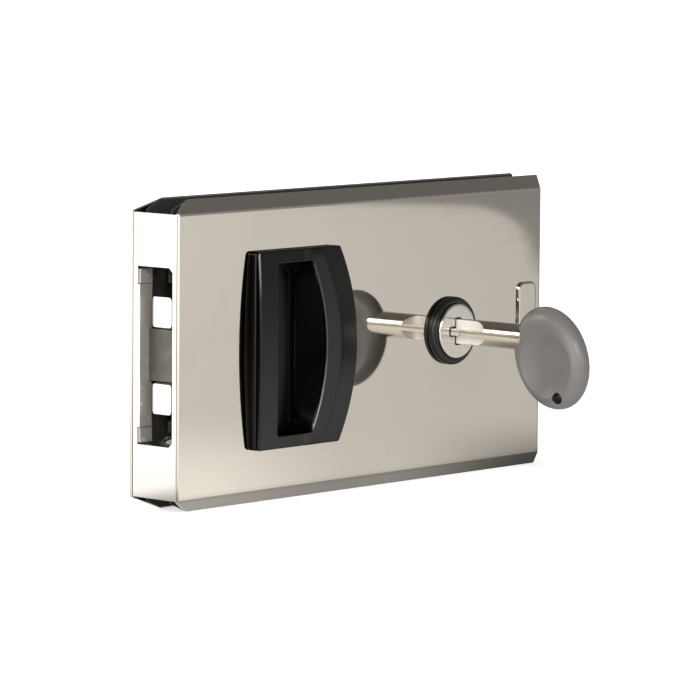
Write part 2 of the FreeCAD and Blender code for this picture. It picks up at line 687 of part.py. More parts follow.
def first_wire(prism):
    """The outline of a prism along Y, at its low end."""
    face = min(prism.Faces, key=lambda face: face.CenterOfMass.y)
    return face.OuterWire


def pull(front_posts):
    """The moving pull: a crowned frame, and the finger cup behind it."""
    frame_back = (BASE_PROUD + GROOVE, BASE_CROWN)
    frame_front = (BASE_PROUD + GROOVE + FRAME_EDGE, PULL_CROWN)
    front = COVER_FACE + BASE_PROUD + GROOVE + FRAME_EDGE
    deepest = front + PULL_CROWN
    slab = crowned_slab(frame_back, frame_front)
    frame = slab.common(pull_outline(-deepest, -COVER_FACE)).cut(rolled_edge(front))
    neck = crowned_slab(ON_COVER, frame_back).common(pull_mouth(-deepest, -COVER_FACE, CUP_WALL))
    cup = pull_mouth(-COVER_FACE, -CUP_BACK, CUP_WALL)
    body = fused(frame, neck, cup).cut(finger_room(deepest))
    for x, z in post_places():
        if front_posts:
            body = body.fuse(rod(x, z, POST_RADIUS, -CUP_BACK, SLIDE_LAYER))
            body = body.cut(rod(x, z, PULL_SCREW_RADIUS, SLIDE_LAYER - PULL_SCREW_BITE, SLIDE_LAYER))
        else:
            body = body.cut(rod(x, z, PULL_SCREW_RADIUS, -COVER_FACE, 0))
            body = body.cut(countersink(x, z, -CUP_BOTTOM))
    return body.removeSplitter()


def countersink(x, z, y):
    """A screw's countersunk head, with its flat face at y on the key side."""
    return Part.makeCone(PULL_SCREW_HEAD, PULL_SCREW_RADIUS, PULL_SCREW_HEAD - PULL_SCREW_RADIUS,
                         V(x, y, z), V(0, 1, 0))


def pull_screws():
    """Screws from the far side's cup, through the slide, into the key side's posts."""
    screws = []
    for x, z in post_places():
        shank = rod(x, z, PULL_SCREW_RADIUS, SLIDE_LAYER - PULL_SCREW_BITE, CUP_BOTTOM)
        screws.append(fused(shank, mirror_y(countersink(x, z, -CUP_BOTTOM))))
    return screws


def pull_base():
    """The fixed base under a pull, with a spigot that locates it in the cover and the case."""
    crown_face = COVER_FACE + BASE_PROUD + BASE_CROWN
    plate = crowned_slab(ON_COVER, (BASE_PROUD, BASE_CROWN)).common(pull_outline(-crown_face, -COVER_FACE))
    base = fused(plate, pull_opening(-COVER_FACE, -CASE_INNER, SPIGOT_WALL))
    base = base.cut(pull_opening(-crown_face, 0, 0))
    for z in (BASE_SCREW_Z, -BASE_SCREW_Z):
        base = base.cut(rod(BASE_SCREW_X, z, BASE_SCREW_RADIUS, -COVER_FACE - BASE_SCREW_BITE, 0))
    return base


def base_screws():
    """Pan-head screws from inside the case into the base."""
    screws = []
    for z in (BASE_SCREW_Z, -BASE_SCREW_Z):
        shank = rod(BASE_SCREW_X, z, BASE_SCREW_RADIUS, -COVER_FACE - BASE_SCREW_BITE, -CASE_INNER)
        head = rod(BASE_SCREW_X, z, BASE_SCREW_HEAD, -CASE_INNER, -CASE_INNER + BASE_SCREW_HEAD_HEIGHT)
        screws.append(fused(shank, head))
    return screws


def cross_prism(radius, arm, y0, y1):
    """A cross of four equal arms inside a round outline."""
    half = arm / 2
    cross = fused(box(-radius, radius, y0, y1, -half, half), box(-half, half, y0, y1, -radius, radius))
    cross = cross.common(rod(0, 0, radius, y0, y1))
    cross.translate(V(LOCK_X, 0, 0))
    return cross


def trim_ring():
    """The black ring round the cylinder's face."""
    outer = rod(LOCK_X, 0, RING_RADIUS, -COVER_FACE - RING_PROUD, -COVER_FACE)
    lip = [edge for edge in outer.Edges if edge.BoundBox.YMax < -COVER_FACE - RING_PROUD + 1e-6]
    outer = outer.makeFillet(RING_ROUND, lip)
    return outer.cut(rod(LOCK_X, 0, FACE_DISC_RADIUS + RUNNING_CLEARANCE, -2 * COVER_FACE, 0))


def pin_directions():
    return [(math.cos(turn), math.sin(turn)) for turn in (0, math.pi / 2, math.pi, 3 * math.pi / 2)]


def radial_rods(radius, start, end):
    """Round rods that point outwards from the cylinder's axis, one for each pin."""
    rods = []
    for y in PIN_ROWS:
        for along_x, along_z in pin_directions():
            direction = V(along_x, 0, along_z)
            foot = V(LOCK_X, y, 0) + direction * start
            rods.append(Part.makeCylinder(radius, end - start, foot, direction))
    return rods


def cylinder_body():
    barrel = rod(LOCK_X, 0, BARREL_RADIUS, -FACE_DISC_BACK, BARREL_END)
    barrel = barrel.cut(rod(LOCK_X, 0, PLUG_RADIUS + RUNNING_CLEARANCE, -COVER_FACE * 2, COVER_FACE))
    return cut_all(barrel, *radial_rods(PIN_RADIUS, PLUG_RADIUS, 2 * BARREL_RADIUS))


def driver_pins():
    start = PLUG_RADIUS + DRIVER_GAP
    return radial_rods(PIN_RADIUS, start, start + DRIVER_LENGTH)


def pin_springs():
    return radial_rods(SPRING_RADIUS, PLUG_RADIUS + DRIVER_GAP + DRIVER_LENGTH, BARREL_RADIUS - SPRING_GAP)


def keyway_radius():
    return KEY_RADIUS + KEYWAY_CLEARANCE


def plug_pins():
    return radial_rods(PIN_RADIUS, keyway_radius(), PLUG_RADIUS)


def cylinder_plug():
    """The part that turns: the face disc, the keyed barrel and the tail."""
    disc = rod(LOCK_X, 0, FACE_DISC_RADIUS, -FACE_DISC_FRONT, -FACE_DISC_BACK)
    rim = [edge for edge in disc.Edges if edge.BoundBox.YMax < -FACE_DISC_FRONT + 1e-6]
    disc = disc.makeChamfer(FACE_DISC_CHAMFER, rim)
    shaft = rod(LOCK_X, 0, PLUG_RADIUS, -FACE_DISC_BACK, CAM_LAYER)
    tail = rod(LOCK_X, 0, TAIL_RADIUS, CAM_LAYER, COVER_BACK)
    plug = fused(disc, shaft, tail)
    keyway = cross_prism(keyway_radius(), KEY_ARM + 2 * KEYWAY_CLEARANCE, -FACE_DISC_FRONT, key_room_end())
    slot = tongue(key_room_end(), COVER_BACK, KEYWAY_CLEARANCE)
    return cut_all(plug, keyway, slot, *radial_rods(PIN_RADIUS, KEY_RADIUS / 2, 2 * PLUG_RADIUS))


def key_room_end():
    """Where the keyway stops, just past the tip of a key that is pushed home."""
    return -FACE_DISC_FRONT + KEY_INSERTED + KEY_MORE + FACE_CLEARANCE


def tongue(y0, y1, room):
    half_x = TONGUE_WIDTH / 2 + room
    half_z = TONGUE_THICKNESS / 2 + room
    return box(LOCK_X - half_x, LOCK_X + half_x, y0, y1, -half_z, half_z)


def cylinder_nut():
    """The ring nut that clamps the cylinder to the front case half."""
    nut = rod(LOCK_X, 0, NUT_RADIUS, -CASE_INNER, -CASE_INNER + NUT_HEIGHT)
    nut = nut.cut(rod(LOCK_X, 0, BARREL_RADIUS, -CASE_INNER, 0))
    half = NUT_SLOT / 2
    return cut_all(nut, *[box(LOCK_X - half, LOCK_X + half, -CASE_INNER, 0, edge - half, edge + half)
                          for edge in (-NUT_RADIUS, NUT_RADIUS)])


def spiral_slot():
    """A slot whose radius grows evenly with the turn, so the bolt lifts evenly."""
    steps = 12
    half = FOLLOWER_RADIUS + SPIRAL_CLEARANCE
    centre, inner, outer = [], [], []
    for step in range(steps + 1):
        share = step / steps
        angle = math.radians(90 - LOCK_TURN * share)
        radius = FOLLOWER_LOW + BOLT_LIFT * share
        centre.append((radius, angle))
        inner.append(V((radius - half) * math.cos(angle), CAM_LAYER, (radius - half) * math.sin(angle)))
        outer.append(V((radius + half) * math.cos(angle), CAM_LAYER, (radius + half) * math.sin(angle)))
    inner_curve = Part.BSplineCurve()
    inner_curve.interpolate(inner)
    outer_curve = Part.BSplineCurve()
    outer_curve.interpolate(outer)
    wire = Part.Wire([inner_curve.toShape(), Part.makeLine(inner[-1], outer[-1]), outer_curve.toShape(),
                      Part.makeLine(outer[0], inner[0])])
    slot = Part.Face(wire).extrude(V(0, CAM_THICKNESS, 0))
    for radius, angle in (centre[0], centre[-1]):
        slot = slot.fuse(rod(radius * math.cos(angle), radius * math.sin(angle), half, CAM_LAYER, CAM_BACK))
    return slot


def lock_cam():
    """A fan-shaped plate on the plug's tail, with the spiral slot."""
    sweep = LOCK_TURN + 2 * CAM_OVERRUN
    fan = Part.makeCylinder(CAM_RADIUS, CAM_THICKNESS, V(0, 0, CAM_LAYER), V(0, 0, 1), sweep)
    fan.rotate(V(0, 0, 0), V(1, 0, 0), -90)
    fan.rotate(V(0, 0, 0), V(0, 1, 0), -90 - CAM_OVERRUN)
    plate = fused(fan, rod(0, 0, CLIP_RADIUS, CAM_LAYER, CAM_BACK))
    plate = cut_all(plate, spiral_slot(), rod(0, 0, TAIL_RADIUS, CAM_LAYER, CAM_BACK))
    plate.translate(V(LOCK_X, 0, 0))
    return plate


def cam_clip():
    """The open ring that keeps the cam on the tail."""
    clip = rod(LOCK_X, 0, CLIP_RADIUS, CAM_BACK, CAM_BACK + CLIP_THICKNESS)
    clip = clip.cut(rod(LOCK_X, 0, TAIL_RADIUS, CAM_BACK, COVER_FACE))
    half = CLIP_OPENING / 2
    return clip.cut(box(LOCK_X - half, LOCK_X + half, CAM_BACK, COVER_FACE, 0, CLIP_RADIUS))


def locking_bolt():
    """The bolt that rises into the notch plate, with its follower pin."""
    half = BOLT_WIDTH / 2
    body = box(LOCK_X - half, LOCK_X + half, SLIDE_LAYER, SLIDE_BACK, BOLT_BOTTOM, BOLT_SHOULDER)
    tooth = box(LOCK_X - TOOTH_WIDTH / 2, LOCK_X + TOOTH_WIDTH / 2, SLIDE_LAYER, SLIDE_BACK,
                BOLT_SHOULDER, BOLT_SHOULDER + TOOTH_HEIGHT)
    pin = rod(LOCK_X, FOLLOWER_LOW, FOLLOWER_RADIUS, SLIDE_BACK, CAM_BACK)
    return fused(body, tooth, pin)


def bolt_guides():
    """Two cheeks beside the bolt, standing on the front case half."""
    inner = BOLT_WIDTH / 2 + GUIDE_CLEARANCE
    outer = inner + BOLT_GUIDE_WIDTH
    cheeks = []
    for side in (-1, 1):
        x0, x1 = sorted((LOCK_X + side * inner, LOCK_X + side * outer))
        cheeks.append(box(x0, x1, -CASE_INNER, SLIDE_BACK, NUT_RADIUS + BOLT_GAP,
                          BOLT_SHOULDER + BOLT_GUIDE_RISE))
    return cheeks


def turn_knob():
    """The far side's knob: a disc with a grip bar, and the tongue that turns the plug."""
    disc = rod(LOCK_X, 0, FACE_DISC_RADIUS, COVER_FACE + FACE_CLEARANCE, FACE_DISC_FRONT)
    rim = [edge for edge in disc.Edges if edge.BoundBox.YMin > FACE_DISC_FRONT - 1e-6]
    disc = disc.makeChamfer(FACE_DISC_CHAMFER, rim)
    spindle = rod(LOCK_X, 0, SPINDLE_RADIUS, COVER_BACK, COVER_FACE + FACE_CLEARANCE)
    grip = box(LOCK_X - KNOB_WIDTH / 2, LOCK_X + KNOB_WIDTH / 2, FACE_DISC_FRONT, COVER_FACE + KNOB_PROUD,
               -KNOB_LENGTH / 2, KNOB_LENGTH / 2)
    grip = round_corners(grip, KNOB_CORNER, V(0, 1, 0))
    top = [edge for edge in grip.Edges if edge.BoundBox.YMin > COVER_FACE + KNOB_PROUD - 1e-6]
    grip = grip.makeFillet(KNOB_ROUND, top)
    return fused(disc, spindle, grip, tongue(key_room_end() + FACE_CLEARANCE, COVER_BACK, 0))


def key_blade():
    """The round shank, milled to a cross at its inner end."""
    tip = -FACE_DISC_FRONT + KEY_INSERTED
    seat = -COVER_FACE - BOW_PROUD + BOW_SHORT / 2 - BOW_SEAT
    scoop_y = -COVER_FACE - KEY_SCOOP_START
    shank = rod(0, 0, KEY_RADIUS, seat, tip)
    reach = 2 * KEY_RADIUS
    scoop = fused(box(-reach, reach, scoop_y, tip, -reach, reach),
                  Part.makeCylinder(KEY_SCOOP_RADIUS, 2 * reach, V(-reach, scoop_y, 0), V(1, 0, 0)))
    for side_x in (-1, 1):
        for side_z in (-1, 1):
            x0, x1 = sorted((side_x * KEY_ARM / 2, side_x * reach))
            z0, z1 = sorted((side_z * KEY_ARM / 2, side_z * reach))
            shank = shank.cut(scoop.common(box(x0, x1, seat, tip, z0, z1)))
    shank.translate(V(LOCK_X, 0, 0))
    return shank


def key_bow():
    """The oval bow, dished on both faces, with a hole for a key ring."""
    y = -COVER_FACE - BOW_PROUD
    ellipse = Part.Ellipse(V(0, 0, 0), BOW_LONG / 2, BOW_SHORT / 2).toShape()
    bow = Part.Face(Part.Wire([ellipse])).extrude(V(0, 0, BOW_THICKNESS))
    bow.translate(V(0, 0, -BOW_THICKNESS / 2))
    bow = bow.makeFillet(BOW_ROUND, [edge for edge in bow.Edges if edge.Closed])
    bow.rotate(V(0, 0, 0), V(0, 1, 0), 90)
    bow.rotate(V(0, 0, 0), V(1, 0, 0), -BOW_TILT)
    radius = (DISH_DIAMETER ** 2 / 4 + DISH_DEPTH ** 2) / (2 * DISH_DEPTH)
    for side in (-1, 1):
        centre = side * (BOW_THICKNESS / 2 - DISH_DEPTH + radius)
        bow = bow.cut(Part.makeSphere(radius, V(centre, 0, -DISH_DROP)))
    hole = Part.makeCylinder(KEY_HOLE_RADIUS, 2 * BOW_THICKNESS,
                             V(-BOW_THICKNESS, -KEY_HOLE_OUT, -KEY_HOLE_DROP), V(1, 0, 0))
    bow = bow.cut(hole)
    bow.translate(V(LOCK_X, y, -BOW_DROP))
    return bow.cut(key_blade())


def fixing_sleeve():
    """The bush that passes through the panel's hole."""
    return rod(FIXING_X, 0, SLEEVE_RADIUS, -CLAMP_FACE, CLAMP_FACE).cut(
        rod(FIXING_X, 0, FIXING_SCREW_RADIUS + RUNNING_CLEARANCE, -CLAMP_FACE, CLAMP_FACE))


def fixing_screw():
    seat = COVER_BACK - FIXING_HEAD_HEIGHT - FACE_CLEARANCE
    top = -seat - FIXING_HEAD_HEIGHT
    head = rod(FIXING_X, 0, FIXING_HEAD_RADIUS, top, -seat)
    socket = rod(FIXING_X, 0, FIXING_HEAD_RADIUS / 2, top, top + FIXING_HEAD_HEIGHT / 2)
    return fused(head, rod(FIXING_X, 0, FIXING_SCREW_RADIUS, -seat, COVER_BACK - FACE_CLEARANCE)).cut(socket)


def fixing_nut():
    seat = COVER_BACK - FIXING_HEAD_HEIGHT - FACE_CLEARANCE
    reach = NUT_FLATS / math.sqrt(3)
    turns = [math.radians(60 * step) for step in range(6)]
    corners = [(FIXING_X + reach * math.cos(turn), reach * math.sin(turn)) for turn in turns]
    nut = plate_xz(corners, seat, seat + FIXING_HEAD_HEIGHT)
    return nut.cut(rod(FIXING_X, 0, FIXING_SCREW_RADIUS, seat, COVER_FACE))


def fixing_cap():
    """The raised pad over the fixing screw, on a round spigot."""
    half_x, half_z = CAP_WIDTH / 2, CAP_HEIGHT / 2
    pad = box(FIXING_X - half_x, FIXING_X + half_x, -COVER_FACE - CAP_PROUD, -COVER_FACE, -half_z, half_z)
    pad = round_corners(pad, CAP_CORNER, V(0, 1, 0))
    rim = [edge for edge in pad.Edges if edge.BoundBox.YMax < -COVER_FACE - CAP_PROUD + 1e-6]
    pad = pad.makeFillet(CAP_ROUND, rim)
    return fused(pad, rod(FIXING_X, 0, CAP_SPIGOT, -COVER_FACE, -COVER_BACK))


def build():
    front_pull = pull(True)
    rear_pull = mirror_y(pull(False))
    return {
        "front_cover_plate": [cover_plate()],
        "rear_cover_plate": [mirror_y(cover_plate())],
        "front_gasket": [gasket()],
        "rear_gasket": [mirror_y(gasket())],
        "front_case_half": [front_case_half()],
        "rear_case_half": [rear_case_half()],
        "case_screws": case_screws(),
        "edge_plate": [edge_plate()],
        "edge_rivets": edge_rivets(),
        "pocket_plate": [pocket_plate()],
        "pocket_strip": [pocket_strip()],
        "pocket_strip_lugs": strip_lugs(),
        "upper_hook": [upper_hook()],
        "lower_hook": [mirror_z(upper_hook())],
        "hook_pivots": hook_pivots(),
        "drive_slide": [drive_slide()],
        "drive_studs": drive_studs(),
        "notch_plate": [notch_plate()],
        "slide_guides": slide_guides(),
        "front_pull": [front_pull],
        "rear_pull": [rear_pull],
        "pull_screws": pull_screws(),
        "front_pull_base": [pull_base()],
        "rear_pull_base": [mirror_y(pull_base())],
        "front_base_screws": base_screws(),
        "rear_base_screws": [mirror_y(screw) for screw in base_screws()],
        "cylinder_body": [cylinder_body()],
        "cylinder_ring": [trim_ring()],
        "cylinder_nut": [cylinder_nut()],
        "cylinder_plug": [cylinder_plug()],
        "plug_pins": plug_pins(),
        "driver_pins": driver_pins(),
        "pin_springs": pin_springs(),
        "lock_cam": [lock_cam()],
        "cam_clip": [cam_clip()],
        "locking_bolt": [locking_bolt()],
        "bolt_guides": bolt_guides(),
        "turn_knob": [turn_knob()],
        "knob_ring": [mirror_y(trim_ring())],
        "key_blade": [key_blade()],
        "key_bow": [key_bow()],
        "fixing_sleeve": [fixing_sleeve()],
        "fixing_screw": [fixing_screw()],
        "fixing_nut": [fixing_nut()],
        "front_fixing_cap": [fixing_cap()],
        "rear_fixing_cap": [mirror_y(fixing_cap())],
    }


os.makedirs("parts", exist_ok=True)
for node, solids in build().items():
    shape = solids[0] if len(solids) == 1 else Part.makeCompound(solids)
    shape.exportStep("parts/" + node + ".step")
    print(node, len(shape.Solids), round(shape.Volume, 1), shape.isValid())
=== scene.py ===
"""The sliding door latch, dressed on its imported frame.

Lengths are millimetres, and each finished mesh is scaled to metres. X runs from the leading
edge into the door, -Y points out of the key side, and Z is up. A length named "proud" is
measured outwards from a cover's outer face.
"""
import json
import math
from collections import namedtuple

import bmesh
import bpy
from mathutils import Matrix, Vector


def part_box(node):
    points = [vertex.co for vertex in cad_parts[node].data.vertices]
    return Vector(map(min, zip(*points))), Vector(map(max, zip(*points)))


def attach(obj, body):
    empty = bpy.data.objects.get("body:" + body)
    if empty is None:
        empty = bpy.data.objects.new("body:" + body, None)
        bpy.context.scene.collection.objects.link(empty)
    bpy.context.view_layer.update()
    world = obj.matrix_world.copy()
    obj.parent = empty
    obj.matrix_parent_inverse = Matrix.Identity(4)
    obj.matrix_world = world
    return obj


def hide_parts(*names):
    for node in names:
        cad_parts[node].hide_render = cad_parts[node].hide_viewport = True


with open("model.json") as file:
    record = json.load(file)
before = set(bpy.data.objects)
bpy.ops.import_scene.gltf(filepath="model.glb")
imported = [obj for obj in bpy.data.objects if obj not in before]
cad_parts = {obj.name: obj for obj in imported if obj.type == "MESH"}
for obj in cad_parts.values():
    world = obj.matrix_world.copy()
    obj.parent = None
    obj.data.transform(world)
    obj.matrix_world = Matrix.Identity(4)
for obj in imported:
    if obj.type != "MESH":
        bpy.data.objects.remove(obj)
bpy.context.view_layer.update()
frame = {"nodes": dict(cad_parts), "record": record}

MM = 0.001

# A barrel outline: where its two bowed sides start and how far they bulge, half its height and
# its corner radius
Barrel = namedtuple("Barrel", "left left_bulge right right_bulge half corner")


def node_box(node):
    """Lowest and highest corner of a CAD node, in millimetres."""
    low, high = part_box(node)
    return low / MM, high / MM


# Sizes read from the frame
COVER_LOW, COVER_HIGH = node_box("front_cover_plate")
COVER_FACE = -COVER_LOW.y
CLAMP_FACE = -COVER_HIGH.y
EDGE_LOW, EDGE_HIGH = node_box("edge_plate")
RING_LOW, RING_HIGH = node_box("cylinder_ring")
DISC_LOW, DISC_HIGH = node_box("cylinder_plug")
KNOB_LOW, KNOB_HIGH = node_box("turn_knob")
BLADE_LOW, BLADE_HIGH = node_box("key_blade")
BOW_LOW, BOW_HIGH = node_box("key_bow")
CAP_LOW, CAP_HIGH = node_box("front_fixing_cap")
STRIP_LOW, STRIP_HIGH = node_box("pocket_strip")
POCKET_LOW, POCKET_HIGH = node_box("pocket_plate")
LOCK_X = (RING_LOW.x + RING_HIGH.x) / 2
FIXING_X = (CAP_LOW.x + CAP_HIGH.x) / 2
KEY_RADIUS = (BLADE_HIGH.x - BLADE_LOW.x) / 2

# The covers
SHEET = 1.0
BEVEL_OUT = 4.1
FOLD_TANGENT = 0.76
MITRE = 9.0
FIXING_HOLE = 4.55
BARREL_HOLE = 9.05
COVER_EDGE_ROUND = 0.12

# The edge plate and what shows in its window
EDGE_THICKNESS = 2.0
EDGE_PLATE_ROUND = 0.22
WINDOW_ACROSS = 7.55
WINDOW_CHAMFER = 1.4
WINDOW_HALF = 28.5
TRAY_FORWARD = 1.5
TRAY_CLEARANCE = 0.15
TRAY_ROUND = 0.15
TRAY_GAP = 0.05
STRIP_ROUND = 0.1
STRIP_SETBACK = 0.05

# The hooks
PIVOT = Vector((14.0, 0.0, 30.0))
HOOK_INNER = 15.5
HOOK_OUTER = 23.5
HOOK_FACE = 4.2
HOOK_TIP = 3.3
HOOK_ROUND = 1.0
HOOK_EDGE_ROUND = 0.4
HOOK_END = -142.0
HUB_RADIUS = 5.3
ARM_HALF = 4.0
PIVOT_HOLE = 2.05
STUD_DROP = 4.8
STUD_ALONG = 2.5
SLOT_HALF = 1.42
TAIL_PAST_SLOT = 7.5

# The pulls
TRAVEL = 5.0
PULL_OUTLINE = Barrel(33.7, 0.8, 73.5, 7.8, 32.2, 1.3)
PULL_MOUTH = Barrel(42.4, 1.4, 59.8, 5.6, 28.0, 1.2)
CUP_FOOT = 57.7
CUP_FOOT_BULGE = 0.5
CUP_CORNER = 5.6
PULL_CROWN = 2.0
BASE_CROWN = 0.7
BASE_PROUD = 1.9
GROOVE = 0.4
FRAME_EDGE = 0.9
FRAME_FRONT_ROUND = 0.8
FRAME_BACK_ROUND = 0.2
MOUTH_ROUND = 0.3
BASE_EDGE_ROUND = 0.55
BASE_MOUTH_ROUND = 0.3
RIDGE_END = 63.6
RIDGE_BULGE = 8.4
ROLL_DROP = 1.6
ROLL_WIDTH = 10.5
KNEE = 0.35
INNER_FALL = 0.62
DIP_FADE = 4.5
CUP_WALL = 1.3
CUP_CLEARANCE = 0.4
CUP_FLOOR = 5.75
CUP_BACK = 4.5
CUP_FLOOR_ROUND = 1.35
COAT_EDGE = 0.45
# Share of the outer coat along the cup floor's edges, where the painted shade is lifted as a thin painted
# highlight
FLOOR_SHINE = 0.7
SPIGOT_WALL = 0.9
SPIGOT_END = 7.55
POST_PLACES = [(x, z) for x in (46.0, 54.0) for z in (18.0, -18.0)]
POST_RADIUS = 2.6
POST_FOOT = 2.0
POST_BORE = -3.0
SCREW_HEAD = 2.6
SCREW_SHANK = 1.5
SCREW_CLEARANCE = 0.02
CASE_HEAD = 2.7
CASE_HEAD_HEIGHT = 1.5
BASE_SCREW_X = 71.5
BASE_SCREW_Z = 20.0
BASE_HEAD = 2.4
BASE_HEAD_HEIGHT = 1.1
BASE_SCREW_SHANK = 1.25

# A pull's painted light. Its inner band is painted lighter as a sheen, fading at the ridge, at the mouth and
# towards both ends.
# Painted highlight lines run along the mouth's trailing edge, brighter towards its foot, and the frame's
# leading edge near its top.
PAINTED_SHEEN_RIDGE_FADE = 1.2
PAINTED_SHEEN_MOUTH_FADE = 0.4
PAINTED_SHEEN_END = 1.5
PAINTED_SHEEN_END_FADE = 2.0
MOUTH_HIGHLIGHT_OUT = 0.04
MOUTH_HIGHLIGHT_HALF = 0.12
MOUTH_HIGHLIGHT_DEPTH = 0.32
MOUTH_HIGHLIGHT_END = 0.8
MOUTH_HIGHLIGHT_FROM = 4.0
MOUTH_HIGHLIGHT_FADE = 20.0
MOUTH_HIGHLIGHT_LEAST = 0.16
MOUTH_HIGHLIGHT_RISE = 0.8
FRAME_HIGHLIGHT_IN = 0.02
FRAME_HIGHLIGHT_REACH = 0.5
FRAME_HIGHLIGHT_FROM = 17.0
FRAME_HIGHLIGHT_FADE = 10.0
FRAME_HIGHLIGHT_MOST = 0.55

# The lock's face, the knob and the key
FACE_DISC_RADIUS = (DISC_HIGH.x - DISC_LOW.x) / 2
FACE_CHAMFER = 0.6
FACE_EDGE_ROUND = 0.07
PLUG_RADIUS = 6.5
TAIL_RADIUS = 5.0
TAIL_START = 4.9
KEY_ARM = 2.2
SHANK_IN_BOW = 3.6
KEYWAY_CLEARANCE = 0.15
KEYWAY_END = 2.3
KEYWAY_FLARE = 0.4
FLARE_DEPTH = 2.5
SCOOP_PROUD = 10.0
SCOOP_RADIUS = 12.5
KEY_TIP_CHAMFER = 0.4
KEY_EDGE_ROUND = 0.16
# Where the key's painted shade in the keyway's mouth starts and ends, outwards from the cover's face
PAINTED_KEYWAY_SHADE_STARTS = (1.8, 2.4)
PAINTED_KEYWAY_SHADE_ENDS = (3.3, 3.7)
KNOB_HEIGHT = 4.2
KNOB_GRIP_WIDTH = 6.0
SPINDLE_RADIUS = 4.0
TONGUE_HALF = (3.0, 1.0)
BOW_LONG = 35.2
BOW_SHORT = 28.6
BOW_TILT = 28.0
BOW_THICKNESS = 8.8
BOW_FULLNESS = 5.2
BOW_BACK = 0.3
BOW_EDGE_ROUND = 0.55
DISH_RADIUS = 10.9
DISH_RIM = 4.0
DISH_DEPTH = 2.0
DISH_DROP = 3.0
KEY_HOLE_RADIUS = 1.8
KEY_HOLE_OUT = 5.2
KEY_HOLE_DROP = 12.8
CAP_CORNER = 2.6
CAP_RIM = 0.6
CAP_SPIGOT = 4.5

# The photograph's camera
CAMERA_PLACE = Vector((-1091.31, -1046.02, 159.81)) * MM
CAMERA_RIGHT = Vector((0.66176, -0.74972, 0.0))
CAMERA_UP = Vector((0.07759, 0.06849, 0.99463))
CAMERA_ROLL = math.radians(0.463)
CAMERA_LENS = 245.9
CAMERA_SENSOR = 36.0

# The studio's level at the horizon, and its warm white
ROOM_LEVEL = 0.50
ROOM_COLOUR = (1.0, 0.985, 0.96)

# The direction of the line on the floor along which a cover mirrors the camera's view
MIRROR_X = 0.7457
MIRROR_OUT = 0.6582


# Finishes

class Value:
    """A number or colour that varies over a surface, for use in expressions."""

    def __init__(self, finish, socket):
        self.finish = finish
        self.socket = socket

    def math(self, operation, *inputs):
        return self.finish.take("ShaderNodeMath", {"operation": operation}, inputs)

    def __add__(self, other):
        return self.math("ADD", self, other)

    def __radd__(self, other):
        return self.math("ADD", other, self)

    def __sub__(self, other):
        return self.math("SUBTRACT", self, other)

    def __rsub__(self, other):
        return self.math("SUBTRACT", other, self)

    def __mul__(self, other):
        return self.math("MULTIPLY", self, other)

    def __rmul__(self, other):
        return self.math("MULTIPLY", other, self)

    def __truediv__(self, other):
        return self.math("DIVIDE", self, other)

    def above(self, start, end):
        """Rises smoothly from 0 at start to 1 at end."""
        return self.finish.take("ShaderNodeMapRange", {"interpolation_type": "SMOOTHSTEP"},
                                {"Value": self, "From Min": start, "From Max": end}, "Result")


class Finish:
    """A node tree with one method for any node."""

    def __init__(self, tree):
        self.tree = tree
        tree.nodes.clear()

    def node(self, kind, settings, inputs):
        node = self.tree.nodes.new(kind)
        for name, setting in settings.items():
            setattr(node, name, setting)
        pairs = inputs.items() if isinstance(inputs, dict) else enumerate(inputs)
        for key, given in pairs:
            linked = given if isinstance(given, list) else [given]
            if isinstance(linked[0], Value):
                for value in linked:
                    self.tree.links.new(value.socket, node.inputs[key])
            else:
                node.inputs[key].default_value = given
        return node

    def take(self, kind, settings, inputs, output=0):
        return Value(self, self.node(kind, settings, inputs).outputs[output])

    def vectors(self, operation, inputs, output=0):
        return self.take("ShaderNodeVectorMath", {"operation": operation}, inputs, output)

    def stored(self, name):
        """A number that the mesh stores at each point."""
        return self.take("ShaderNodeAttribute", {"attribute_name": name}, {}, "Fac")

    def place(self):
        return self.take("ShaderNodeTexCoord", {}, {}, "Object")

    def away_from(self, middle, counted):
        """Distance from an axis, whose own direction isn't counted."""
        offset = self.vectors("SUBTRACT", [self.place(), middle])
        return self.vectors("LENGTH", [self.vectors("MULTIPLY", [offset, counted])], "Value")

    def noise(self, scale, detail=2.0, stretch=(1.0, 1.0, 1.0)):
        """Cloudy noise around 0.5. Scale counts features in a metre."""
        place = self.vectors("MULTIPLY", [self.place(), stretch])
        return self.take("ShaderNodeTexNoise", {}, {"Vector": place, "Scale": scale, "Detail": detail})

    def along(self, axis):
        return self.take("ShaderNodeSeparateXYZ", {}, [self.place()], axis)

    def blend(self, share, low, high):
        """A colour between two, by share."""
        def filled(colour):
            return colour if isinstance(colour, Value) else (*colour, 1.0)

        return self.take("ShaderNodeMix", {"data_type": "RGBA"},
                         {0: share, 6: filled(low), 7: filled(high)}, 2)

    def bump(self, height, distance):
        return self.take("ShaderNodeBump", {}, {"Height": height, "Distance": distance})


def surface(name, fill):
    """A material from one Principled shader, whose sockets fill(finish) gives.

    Unlit, where it is given, is the share of a dull black that replaces the shader: painted shade.
    """
    material = bpy.data.materials.new(name)
    material.use_nodes = True
    finish = Finish(material.node_tree)
    sockets = fill(finish)
    unlit = sockets.pop("Unlit", None)
    shader = finish.take("ShaderNodeBsdfPrincipled", {}, sockets)
    if unlit:
        dead_black = finish.take("ShaderNodeBsdfDiffuse", {}, {"Color": (0.001, 0.001, 0.001, 1.0)})
        shader = finish.take("ShaderNodeMixShader", {}, [unlit, shader, dead_black])
    finish.node("ShaderNodeOutputMaterial", {}, {"Surface": shader})
    return material


